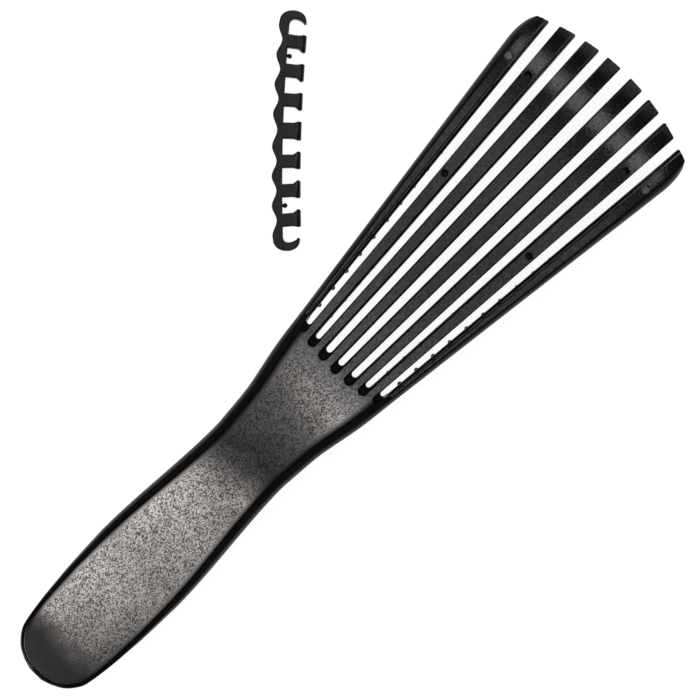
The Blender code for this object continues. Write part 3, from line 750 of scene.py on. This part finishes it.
def slice_up(bm, step, axis=0):
    """Cut a piece across at even steps, so that it can bend there."""
    low = min(vert.co[axis] for vert in bm.verts)
    high = max(vert.co[axis] for vert in bm.verts)
    for k in range(1, math.ceil((high - low) / step)):
        cut_across(bm, axis, low + k * step)


def bend_into_place(bm):
    for vert in bm.verts:
        vert.co = brush_rest @ place(*vert.co)


# %% [markdown]
# A finished piece is an object at the world's origin. Each face has one of two finishes. The
# shading breaks where these meet and at each sharp edge, so that flat faces look flat.

# %% Finishing a piece


def finish_piece(name, bm, finishes, sharp=35):
    """Make the object, with its first finish everywhere and its second on faces marked 1."""
    mesh = bpy.data.meshes.new(name)
    bmesh.ops.recalc_face_normals(bm, faces=bm.faces)
    bm.edges.index_update()
    borders = [edge.index for edge in bm.edges
               if len({face.material_index for face in edge.link_faces}) > 1]
    bm.to_mesh(mesh)
    bm.free()
    for finish in finishes:
        mesh.materials.append(finish)
    mesh.shade_smooth()
    mesh.set_sharp_from_angle(angle=math.radians(sharp))
    for index in borders:
        mesh.edges[index].use_edge_sharp = True
    piece = add_object(name, mesh)
    print(name, len(mesh.polygons), "faces")
    return piece


def mark_top(bm, level=0.99):
    """Give the second finish to faces that look up, while the piece is still flat."""
    bm.normal_update()
    for face in bm.faces:
        face.material_index = int(face.normal.z > level)


# %% [markdown]
# The slots between the ribs end in the handle. In the lower moulding they are open, and in the
# textured panel they reach further back, which leaves a dark pit behind each open slot. Both are
# cut with the same round-ended outline, widened and moved back for the panel.

# %% Outlines of the slots
slot_setback, slot_arc_radius, pit_length = 3.8 * mm, 54 * mm, 3.0 * mm


def slot_edges(pair, x, widen):
    outer = rib_edges(pair, x)[0] + widen
    inner = rib_edges(pair - 1, x)[1] - widen if pair else -outer
    return inner, outer


def slot_outline(pair, side, back_by, widen, open_out=0.0):
    """A slot seen from above: straight sides and a round end."""
    middle = sum(slot_edges(pair, handle_length - slot_setback, widen)) / 2
    bow = slot_arc_radius - math.sqrt(slot_arc_radius ** 2 - middle ** 2)
    end_x = handle_length - slot_setback - back_by + bow
    inner, outer = slot_edges(pair, end_x, widen)
    radius = (outer - inner) / 2
    far_x = handle_length + pit_length
    far_inner, far_outer = slot_edges(pair, far_x, widen)
    outline = [(far_x, side * far_inner), (far_x, side * (far_outer + open_out)),
               (end_x + radius, side * (outer + open_out))]
    for turn in range(75, -90, -15):
        a = math.radians(turn)
        across = mix(inner, outer + open_out, (1 + math.sin(a)) / 2)
        outline.append((end_x + radius * (1 - math.cos(a)), side * across))
    outline.append((end_x + radius, side * inner))
    return outline


def slot_cutters(back_by, widen, open_out=0.0):
    bm = bmesh.new()
    for slot in range(-outer_pair, pairs):
        side = 1 if slot >= 0 else -1
        opened = open_out if abs(slot) == outer_pair else 0.0
        outline = slot_outline(abs(slot), side, back_by, widen, opened)
        add_to(bm, plate(outline, 2 * rail_foot, 2 * back_thickness))
    return bm


# %% [markdown]
# The lower moulding wraps round the sides of the panel. Its section is swept along the handle:
# a seat for the panel, a narrow land, a rounded side that is widest below the seam, and a rounded
# underside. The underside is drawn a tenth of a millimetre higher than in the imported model, whose
# flat facets would otherwise be a little smaller than this smooth one.

# %% Section of the lower moulding
seat_growth = 0.08 * mm
seat_floor = -0.28 * mm
rim_land = 0.75 * mm
rim_round = 0.12 * mm
least_wall = 0.2 * mm
side_line_depth = 1.7 * mm
underside_lift = 0.1 * mm


def moulding_section(x, with_seat):
    wide = half_width(x)
    seat = max(panel_half_width(x, seat_growth), rim_round) if with_seat else rim_round
    floor = seat_floor if with_seat else back_thickness
    land = min(panel_half_width(x, seat_growth) + rim_land, wide - least_wall)
    rim = land if with_seat else wide * 0.7
    rim = max(rim, seat + 2 * rim_round)
    deep = handle_depth(x) - underside_lift
    side = min(side_line_depth, deep / 2)
    along = ease((x - grip_length) / (handle_length - grip_length))
    power = 2 / mix(0.85, 0.25, along)
    half = [(0.0, floor), (seat * 0.5, floor), (seat, floor),
            (seat, back_thickness - rim_round if with_seat else floor),
            (seat + rim_round, back_thickness)]
    for step in range(13):
        a = math.radians(90) * step / 12
        half.append((mix(rim, wide, math.sin(a)), mix(-side, back_thickness, math.cos(a))))
    for step in range(1, 14):
        share = math.cos(math.radians(90) * step / 14)
        half.append((wide * share, -mix(side, deep, (1 - share ** power) ** (1 / power))))
    mirrored = [(-y, h) for y, h in reversed(half[1:])]
    return [(x, y, h) for y, h in half + [(0.0, -deep)] + mirrored]


# %% [markdown]
# The stations stand closest together at the handle's end, where the form changes fastest. Two of
# them enclose the place where the seat starts with a step. The slots are cut a little narrower
# than in the layout, by as much as the rails of the ribs grow.

# %% Lower moulding of the handle
moulding_steps = 90
rail_growth = 0.1 * mm


def build_lower_moulding():
    start = end_rim - seat_growth
    rings = [moulding_section(x * mm, False) for x in (0.01, 0.1, 0.3, 0.5)]
    rings.append(moulding_section(start - hairline, False))
    rings.append(moulding_section(start, True))
    for k in range(1, moulding_steps + 1):
        share = (k / moulding_steps) ** 1.25
        rings.append(moulding_section(mix(start, handle_length, share), True))
    bm = carve(sweep(rings), slot_cutters(0.0, -rail_growth))
    bend_into_place(bm)
    piece = finish_piece("handle_moulding", bm, [gloss_finish], 30)
    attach(piece, "handle")
    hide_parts("handle_front")


build_lower_moulding()

# %% [markdown]
# The textured panel is a plate with the handle's outline, set inside the gloss rim. Its slots are
# cut wider than the open ones, so a thin ledge of the lower moulding shows beside each rib.

# %% Textured panel
panel_steps, panel_slice = 80, 2.4 * mm
ledge = 0.45 * mm
panel_rim_round, slot_rim_round = 0.4 * mm, 0.15 * mm


def panel_outline():
    one_side = []
    for k in range(panel_steps + 1):
        x = mix(end_rim, handle_length, (k / panel_steps) ** 1.5)
        one_side.append((x, panel_half_width(x)))
    return one_side + [(x, -y) for x, y in reversed(one_side)]


def panel_edge(edge):
    """True for the panel's own upper rim, and not for the rims of its slots."""
    return upper_rim(edge) and all(abs(abs(vert.co.y) - panel_half_width(vert.co.x)) < hairline
                                   for vert in edge.verts)


def build_panel():
    bm = carve(plate(panel_outline(), seat_floor + hairline, back_thickness),
               slot_cutters(pit_length, ledge, rim_land))
    round_rims(bm, panel_rim_round, 4, panel_edge)
    round_rims(bm, slot_rim_round, 2, upper_rim)
    mark_top(bm)
    slice_up(bm, panel_slice)
    slice_up(bm, panel_slice, axis=1)
    bend_into_place(bm)
    piece = finish_piece("textured_panel", bm, [gloss_finish, spark_finish])
    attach(piece, "handle")
    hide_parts("handle_back")


build_panel()

# %% [markdown]
# Each rib is moulded in one with the handle, so it starts exactly at the rib line. On the real
# brush it bends.

# %% Ribs: outlines
blend_length, rib_slice = 16 * mm, 2.0 * mm
tip_corner = 0.5 * mm


def rib_corners(pair, side, inset, tip_back):
    """A rib seen from above: two corners at its root and two at its tip."""
    corners = []
    for edge, shift in ((0, inset), (1, -inset)):
        x = brush_length
        for _ in range(4):
            y = rib_edges(pair, x)[edge] + shift
            x = tip_x(y) - tip_back
        corners.append((x, side * y))
    roots = [(handle_length, side * (rib_edges(pair, handle_length)[edge] + shift))
             for edge, shift in ((1, -inset), (0, inset))]
    return corners + roots


def flex_with_rib(piece):
    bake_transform(piece)


def rib_place(number):
    side = 1 if number <= pairs else -1
    return side, pairs - number if side > 0 else number - pairs - 1


# %% [markdown]
# The six inner ribs are flat bars with the spark texture. The ribs next to the outer ones have
# two round holes for the clip's pegs. The others have a filled hole, which shows as a fine ring.
# A turned body cuts each of them.

# %% Holes and rings of the inner ribs
peg_hole_diameter, countersink = 2.0 * mm, 0.15 * mm
ring_radius, ring_width, ring_depth = 1.1 * mm, 0.22 * mm, 0.14 * mm
round_steps = 28


def hole_cutter(x, y):
    """A round hole with a small countersink, turned from a profile."""
    radius = peg_hole_diameter / 2
    above = back_thickness + countersink
    return turned_body([(0.0, -back_thickness), (radius, -back_thickness),
                        (radius, back_thickness - countersink), (radius + 2 * countersink, above),
                        (0.0, above)], x, y, round_steps)


def ring_cutter(x, y):
    """A shallow ring round a filled hole."""
    floor, rim = back_thickness - ring_depth, ring_radius + ring_width
    corners = [(ring_radius, floor), (rim, floor), (rim, 2 * back_thickness),
               (ring_radius, 2 * back_thickness)]
    return turned_body(corners + corners[:1], x, y, round_steps)


# %% [markdown]
# A bar has small round corners at its tip and bevelled upper rims, except round its holes. Its
# underside lies just above the strip of pins, which runs between the two layers of a rib.

# %% Inner ribs
middle_hole_x = brush_length - 56.7 * mm
strip_top, strip_foot = -0.3 * mm, -0.9 * mm
bar_rim_round, longest_hole_edge = 0.16 * mm, 0.28 * mm


def tip_corner_edge(edge):
    """True for the upright edges at a rib's tip."""
    upright = abs(edge.verts[0].co.z - edge.verts[1].co.z) > 5 * hairline
    return upright and min(vert.co.x for vert in edge.verts) > handle_length + rib_length / 2


def outline_rim(edge):
    """An upper rim long enough to be part of a rib's own outline, and not of a small hole."""
    return upper_rim(edge) and edge.calc_length() > longest_hole_edge


def build_inner_rib(number):
    side, pair = rib_place(number)
    bm = plate(rib_corners(pair, side, ledge, ledge), strip_top + hairline, back_thickness)
    round_rims(bm, tip_corner, 5, tip_corner_edge)
    middle = [side * sum(rib_edges(pair, x)) / 2 for x in (middle_hole_x, tip_hole_x)]
    if pair == outer_pair - 1:
        for x, y in zip((middle_hole_x, tip_hole_x), middle):
            bm = carve(bm, hole_cutter(x, y))
    else:
        bm = carve(bm, ring_cutter(tip_hole_x, middle[1]))
    round_rims(bm, bar_rim_round, 3, outline_rim)
    mark_top(bm)
    slice_up(bm, rib_slice)
    bend_into_place(bm)
    piece = finish_piece(f"rib_back_bar_{number}", bm, [gloss_finish, spark_finish])
    flex_with_rib(piece)
    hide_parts(f"rib_back_{number}")


for number in range(2, 2 * pairs):
    build_inner_rib(number)

# %% [markdown]
# The two outer ribs have a rounded gloss side like the handle's, and their tips are cut round. The
# upper and lower layers share that side, so one function gives its place at any height.

# %% Outline of the outer ribs
outer_tip_round_length, outer_tip_round_width = 10 * mm, 3.4 * mm
outer_flat_share = 0.35
outer_rib_steps = 70


def tip_inset(distance, length, width):
    share = max(1 - distance / length, 0.0)
    return width * (1 - math.sqrt(max(1 - share * share, 0.0)))


def outer_flank(x, outer, h):
    inner, nominal = rib_edges(outer_pair, x)
    flat = (nominal - inner) * outer_flat_share * ease(2 * (x - handle_length) / rib_length)
    start = min(inner + rim_land + flat, outer - least_wall)
    rise = (h + side_line_depth) / (back_thickness + side_line_depth)
    return mix(start, outer, math.sqrt(max(1 - rise * rise, 0.0)))


def outer_rings(side, inset, tip_back, section):
    """Stations along an outer rib. Its points run to the tip arc in straight lines."""
    rings = []
    for k in range(outer_rib_steps + 1):
        share = 1 - (1 - k / outer_rib_steps) ** 1.6
        middle = sum(rib_edges(outer_pair, mix(handle_length, brush_length, share))) / 2
        x = mix(handle_length, tip_x(middle) - tip_back, share)
        inner, outer = rib_edges(outer_pair, x)
        left = tip_x(middle) - tip_back - x
        inner += inset + tip_inset(left, tip_corner, tip_corner)
        outer -= tip_inset(left, outer_tip_round_length, outer_tip_round_width)
        ring = []
        for y, h in section(x, inner, outer):
            ring.append((mix(handle_length, tip_x(y) - tip_back, share), side * y, h))
        rings.append(ring)
    return rings


# %% [markdown]
# The upper bar of an outer rib is swept from root to tip. Only the flat strip on top has the
# spark texture, and a gloss line runs inside of it.

# %% Outer ribs
gloss_line = 0.4 * mm


def outer_back_section(x, inner, outer):
    low = strip_top + hairline
    flat_end = outer_flank(x, outer, back_thickness)
    points = [(inner, low), (inner, back_thickness - 2 * rim_round),
              (inner + 0.3 * rim_round, back_thickness - 0.6 * rim_round),
              (inner + 1.2 * rim_round, back_thickness),
              (min(inner + gloss_line, flat_end - least_wall / 2), back_thickness)]
    for step in range(11):
        h = mix(low, back_thickness, math.cos(math.radians(90) * step / 10))
        points.append((outer_flank(x, outer, h), h))
    return points


def mark_flat_strip(bm, side):
    """The spark texture on the top of an outer rib, but not on the gloss line inside of it."""
    mark_top(bm, 0.98)
    for face in bm.faces:
        centre = face.calc_center_median()
        if side * centre.y - rib_edges(outer_pair, centre.x)[0] < ledge + 0.7 * gloss_line:
            face.material_index = 0


def build_outer_bar(number):
    side, _ = rib_place(number)
    bm = sweep(outer_rings(side, ledge, ledge, outer_back_section))
    mark_flat_strip(bm, side)
    bend_into_place(bm)
    piece = finish_piece(f"rib_back_bar_{number}", bm, [gloss_finish, spark_finish])
    flex_with_rib(piece)
    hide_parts(f"rib_back_{number}")


for number in (1, 2 * pairs):
    build_outer_bar(number)

# %% [markdown]
# Under each rib lies a rail with one long slot, through which the pins stand. They stand evenly
# from the rib's root to its tip, in one row a little inside of the rib's middle.

# %% Places of the pins
row_share = 0.45
stem_diameter, stem_clearance = 1.0 * mm, 0.25 * mm
pins_per_rib, first_pin, last_pin = 17, 4.1 * mm, 9.2 * mm
pin_pitch = (rib_length - first_pin - last_pin) / (pins_per_rib - 1)
pin_places = [handle_length + first_pin + k * pin_pitch for k in range(pins_per_rib)]


def row_y(pair, x):
    inner, outer = rib_edges(pair, x)
    return mix(inner, outer, row_share)


def pin_slot(pair, side):
    """A long slot with round ends, cut down through a rail."""
    radius = stem_diameter / 2 + stem_clearance
    outline = []
    for x, turns in ((pin_places[-1], range(-90, 91, 30)), (pin_places[0], range(90, 271, 30))):
        for turn in turns:
            a = math.radians(turn)
            outline.append((x + radius * math.cos(a), side * (row_y(pair, x) + radius * math.sin(a))))
    return plate(outline, 2 * rail_foot, 0.0)


print("pins:", 2 * pairs * pins_per_rib, "with a pitch in mm of", round(pin_pitch / mm, 2))

# %% [markdown]
# The rails of the inner ribs are a little wider than the bars above them: that ledge is the thin
# black line that runs beside each textured bar. A thin dark edge looks thinner against white, so
# the rails grow by a tenth of a millimetre on each side.

# %% Rails
rail_rim_round = 0.45 * mm


def lower_rim(edge):
    """True for the lower rims of a rail, except on the rib line."""
    return all(abs(vert.co.z - rail_foot) < hairline for vert in edge.verts) and not on_rib_line(edge)


def build_rail(number):
    side, pair = rib_place(number)
    bm = plate(rib_corners(pair, side, -rail_growth, 0.0), rail_foot, strip_foot - hairline)
    round_rims(bm, tip_corner, 5, tip_corner_edge)
    round_rims(bm, rail_rim_round, 3, lower_rim)
    bm = carve(bm, pin_slot(pair, side))
    slice_up(bm, rib_slice)
    bend_into_place(bm)
    piece = finish_piece(f"rib_rail_bar_{number}", bm, [rail_finish])
    flex_with_rib(piece)
    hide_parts(f"rib_front_{number}")


for number in range(2, 2 * pairs):
    build_rail(number)

# %% [markdown]
# The rails of the outer ribs run on round their outer side, and meet the upper bar there. They are
# swept like the bars, and the same slot is cut for the pins.

# %% Outer rails
rail_top, rail_side = -1.2 * mm, 0.7 * mm


def outer_rail_section(x, inner, outer):
    top, shoulder = strip_foot - hairline, rail_top - rail_side
    width = outer - inner
    points = [(inner, top), (inner, shoulder), (inner + 0.03 * width, mix(shoulder, rail_foot, 0.7)),
              (inner + 0.1 * width, rail_foot), (outer - 0.3 * width, rail_foot)]
    for share in (0.25, 0.5, 0.75):
        a = math.radians(90) * share
        points.append((mix(outer - 0.3 * width, outer, math.sin(a)),
                       mix(-side_line_depth, rail_foot, math.cos(a))))
    return points + [(outer, -side_line_depth), (outer_flank(x, outer, top), top)]


def build_outer_rail(number):
    side, pair = rib_place(number)
    bm = carve(sweep(outer_rings(side, -rail_growth, 0.0, outer_rail_section)), pin_slot(pair, side))
    bend_into_place(bm)
    piece = finish_piece(f"rib_rail_bar_{number}", bm, [gloss_finish])
    flex_with_rib(piece)
    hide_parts(f"rib_front_{number}")


for number in (1, 2 * pairs):
    build_outer_rail(number)

# %% [markdown]
# A pin is a turned shape: a slim tapered stem and a ball. It has under a hundred faces, because
# there are more than a hundred pins.

# %% Profile of a pin
pin_length = 9.0 * mm
stem_tip_diameter, ball_diameter = 0.8 * mm, 1.6 * mm


def pin_profile():
    length = (strip_top + strip_foot) / 2 - rail_foot + pin_length
    ball = ball_diameter / 2
    neck = math.asin(stem_tip_diameter / ball_diameter)
    points = [(0.0, 0.0), (stem_diameter / 2, 0.0),
              (mix(stem_diameter, stem_tip_diameter, 0.6) / 2, -length / 2)]
    for k in range(7):
        a = mix(neck, math.pi, k / 6)
        points.append((ball * math.sin(a), ball - length + ball * math.cos(a)))
    return points


# %% [markdown]
# The pins are spun from the same profile at each place along a strip, and they lean as the back
# arches there. A strip and all its pins go into one mesh, which is lighter than separate objects.

# %% Strips of pins
strip_slice = 3.0 * mm
strip_setback, outer_strip_setback = 1.8 * mm, 3.5 * mm


def build_pin_strip(number):
    side, pair = rib_place(number)
    is_outer = pair == outer_pair
    far_x = tip_x(row_y(pair, brush_length)) - (outer_strip_setback if is_outer else strip_setback)
    far_share = 0.8 if is_outer else 0.9
    outline = []
    for x, share in ((far_x, 0.1), (far_x, far_share), (handle_length, far_share), (handle_length, 0.1)):
        inner, outer = rib_edges(pair, x)
        outline.append((x, side * mix(inner, outer, share)))
    bm = plate(outline, strip_foot, strip_top)
    slice_up(bm, strip_slice)
    bend_into_place(bm)
    for x in pin_places:
        pin = turned_body(pin_profile(), 0.0, 0.0, 10)
        y = side * row_y(pair, x)
        lean = Matrix.Rotation(-math.atan(crown(x) * y), 4, "X")
        top = place(x, y, (strip_top + strip_foot) / 2)
        pin.transform(brush_rest @ Matrix.Translation(top) @ lean)
        add_to(bm, pin)
    piece = finish_piece(f"pins_{number}", bm, [pin_finish], 50)
    flex_with_rib(piece)
    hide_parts(f"pin_strip_{number}")


for number in range(1, 2 * pairs + 1):
    build_pin_strip(number)

# %% [markdown]
# The connector clip snaps over the eight ribs to hold them together. It is a comb with a wavy
# back, a post between each two ribs, a hook round each outer rib and two pegs for the holes in
# the ribs. Its flat outline has straight posts and waves from a formula.

# %% Outline of the clip
clip_pitch, clip_middle_pitch, clip_slot_width = 8.36 * mm, 9.15 * mm, 4.6 * mm
clip_spine, clip_waist, clip_post = 3.0 * mm, 1.35 * mm, 5.3 * mm
clip_end = clip_spine + clip_post
clip_thickness, clip_arc_rise = 4.0 * mm, 1.15 * mm
flare_length, flare_in, flare_out, flare_face = 2.2 * mm, 0.95 * mm, 0.4 * mm, 0.9 * mm
hook_thickness, toe_drop, toe_rise = 2.35 * mm, 1.5 * mm, 2.7 * mm
clip_slots = [clip_middle_pitch / 2 + k * clip_pitch for k in range(pairs)]


def post_side(at, out):
    """One side of a post, from its flared end down to the spine."""
    slope_at, face_at = clip_end - flare_length, clip_end - flare_face
    return [(at + out * 0.6, clip_end), (at + out * 0.95, clip_end - 0.35 * mm), (at + out, face_at),
            (at + out * 0.45, mix(face_at, slope_at, 0.5)), (at, slope_at), (at, clip_spine)]


def clip_outline():
    """One half of the outline: u along the clip from its middle, v out from the spine."""
    half_slot = clip_slot_width / 2
    points = []
    for k, slot in enumerate(clip_slots):
        near, far = slot - half_slot, slot + half_slot
        points += post_side(near, flare_out if k else (flare_in + flare_out) / 3)
        if k < pairs - 1:
            points += reversed(post_side(far, -flare_in))
    corner = half_slot * 0.75
    for turn in range(-90, 1, 15):
        a = math.radians(turn)
        points.append((far - corner * (1 - math.cos(a)), clip_spine + corner * (1 + math.sin(a))))
    for turn in (12, 25, 38, 50, 63, 76):
        a = math.radians(turn)
        points.append((far - toe_drop * (1 - math.cos(a)), clip_spine + corner + toe_rise * math.sin(a)))
    for turn in range(172, 8, -8):
        a = math.radians(turn)
        points.append((clip_slots[-1] + (half_slot + hook_thickness) * math.sin(a) ** 0.55,
                       clip_end * 0.96 * ((1 - math.cos(a)) / 2) ** 0.79))
    for k in range(pairs - 1, -1, -1):
        gap = clip_pitch if k else clip_middle_pitch
        for step in range(14 if k else 7):
            share = step / 14
            depth = clip_waist * (1 - math.cos(2 * math.pi * share)) / 2
            points.append((clip_slots[k] - share * gap, depth))
    return points


# %% [markdown]
# The clip lies on its side, so its outline is the view from above. The ends of the posts are
# thinned to a round nose by drawing the plate in towards its middle plane.

# %% Noses of the clip's posts
nose_length, nose_share, nose_steps = 1.9 * mm, 0.3, 8
clip_rim_round = 0.3 * mm
post_fan = 0.0045 / mm


def lie(point, reach):
    """Bend the flat clip to its slight arc and lay it where the frame has it."""
    u, v, z = point
    middle = (clip_spine + clip_post) / 2
    u *= 1 - post_fan * (v - clip_spine - clip_post * 0.45)
    return clip_rest @ Vector((u, middle - v - clip_arc_rise * (u / reach) ** 2, z))


def clip_rim(edge):
    """True for an edge between a flat side and the outline's wall."""
    level = abs(edge.verts[0].co.z - edge.verts[1].co.z) < hairline
    return level and len({round(face.normal.z) for face in edge.link_faces}) > 1


def round_noses(bm):
    """Thin the ends of the posts to a round nose."""
    for k in range(1, nose_steps + 1):
        cut_across(bm, 1, clip_end - nose_length * k / nose_steps)
    for vert in bm.verts:
        past = (vert.co.y - clip_end + nose_length) / nose_length
        if past > 0 and abs(vert.co.x) < clip_slots[-1]:
            keep = mix(nose_share, 1.0, math.sqrt(max(1 - past * past, 0.0)))
            vert.co.z = mix(clip_thickness / 2, vert.co.z, keep)


# %% [markdown]
# The pegs are short studs with a ball end. Each is turned upright, and then laid down so that it
# points out of the spine.

# %% Pegs of the clip
peg_radius, peg_ball_radius, peg_root, peg_reach = 0.5 * mm, 0.7 * mm, 1.0 * mm, 1.5 * mm


def clip_peg(side):
    """A stud with a ball end, pointing out of the spine."""
    profile = [(0.0, -peg_root), (peg_radius, -peg_root)]
    for k in range(9):
        a = mix(math.asin(peg_radius / peg_ball_radius), math.pi, k / 8)
        profile.append((peg_ball_radius * math.sin(a), peg_reach - peg_ball_radius * (1 + math.cos(a))))
    peg = turned_body(profile, 0.0, 0.0, 20)
    peg.transform(Matrix.Translation((side * clip_slots[pairs - 2], clip_spine, clip_thickness / 2))
                  @ Matrix.Rotation(math.radians(-90), 4, "X"))
    return peg


# %% [markdown]
# The clip is a plate with rounded rims, bent to a slight arc. Its flat sides are satin, and its
# rims and noses are polished.

# %% Clip


def build_clip():
    half = clip_outline()
    outline = half + [(0.0, clip_waist)] + [(-u, v) for u, v in reversed(half)]
    reach = max(u for u, v in half)
    bm = plate(outline, 0.0, clip_thickness)
    round_rims(bm, clip_rim_round, 3, clip_rim)
    round_noses(bm)
    for side in (1, -1):
        add_to(bm, clip_peg(side))
    for vert in bm.verts:
        vert.co = lie(vert.co, reach)
    bm.normal_update()
    for face in bm.faces:
        face.material_index = int(abs(face.normal.z) > 0.97)
    piece = finish_piece("clip_comb", bm, [gloss_finish, clip_finish], 30)
    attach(piece, "clip")
    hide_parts("connector_clip")


build_clip()

# %% [markdown]
# The stage is a plain pale floor. To the camera it adds a little light of its own, so that it reads
# as white paper and still shows the soft shadow under the brush. Rays that gloss mirrors or clear
# things let through see it too. Mirrored it is dimmer, as paper is that lies in a brush's shade.

# %% Floor
floor_size = 3.0
paper_glow, mirrored_share = 0.9, 0.38


def build_floor():
    bm = bmesh.new()
    bmesh.ops.create_grid(bm, x_segments=2, y_segments=2, size=floor_size / 2)
    mesh = bpy.data.meshes.new("floor")
    bm.to_mesh(mesh)
    bm.free()
    floor = add_object("floor", mesh)
    material, tree, shader = new_finish("pale floor", (0.15, 0.15, 0.15), 1.0)
    path = node(tree, "ShaderNodeLightPath")
    shader.inputs["Emission Color"].default_value = (1, 1, 1, 1)
    mirrored = maths(tree, "MULTIPLY", path.outputs["Is Glossy Ray"], mirrored_share)
    seen = maths(tree, "MAXIMUM", path.outputs["Is Camera Ray"], mirrored)
    seen = maths(tree, "MAXIMUM", seen, path.outputs["Is Transmission Ray"])
    tree.links.new(maths(tree, "MULTIPLY", seen, paper_glow), shader.inputs["Emission Strength"])
    mesh.materials.append(material)


build_floor()
print("floor width in m:", floor_size)

# %% [markdown]
# A broad light from above shows each colour about as it is written. Gloss plastic shows what it
# mirrors, so that light is left out of reflections, as a polarising filter does it in a studio. The
# horizon is bright, which draws a soft light line along every rounded side, and one long soft box
# leans over the ribs' tips: each rib mirrors it where it starts to bend down. Two more soft boxes,
# one past each end of the brush, bring out the texture and the pins.

# %% Lights


def area_light(name, place_at, look_at, size, power):
    data = bpy.data.lights.new(name, "AREA")
    data.shape = "RECTANGLE"
    data.size, data.size_y = size
    data.energy = power
    lamp = add_object(name, data)
    lamp.location = place_at
    lamp.rotation_euler = (Vector(look_at) - Vector(place_at)).to_track_quat("-Z", "Y").to_euler()
    return lamp


def studio_world():
    world = bpy.data.worlds.new("studio")
    world.use_nodes = True
    tree = world.node_tree
    direction = node(tree, "ShaderNodeTexCoord")
    split = node(tree, "ShaderNodeSeparateXYZ")
    tree.links.new(direction.outputs["Generated"], split.inputs[0])
    heights = [(0.0, 0.32), (0.2, 0.13), (0.45, 0.04), (0.7, 0.012), (0.93, 0.003)]
    sky = ramp(tree, split.outputs["Z"], heights)
    tree.links.new(sky, tree.nodes["Background"].inputs["Color"])
    bpy.context.scene.world = world


top = area_light("top light", (0.0, 0.0, 1.5), (0, 0, 0), (1.6, 1.6), 25)
top.visible_glossy = False
area_light("tip soft box", (0.72, 0.0, 1.2), (0.1, 0, 0), (1.2, 0.09), 1.55)
area_light("key soft box", (1.0, 0.5, 0.55), (-0.05, 0, 0), (0.9, 0.4), 4)
area_light("side soft box", (-1.2, 0.35, 0.5), (-0.05, 0, 0), (0.7, 0.4), 4.5)
studio_world()
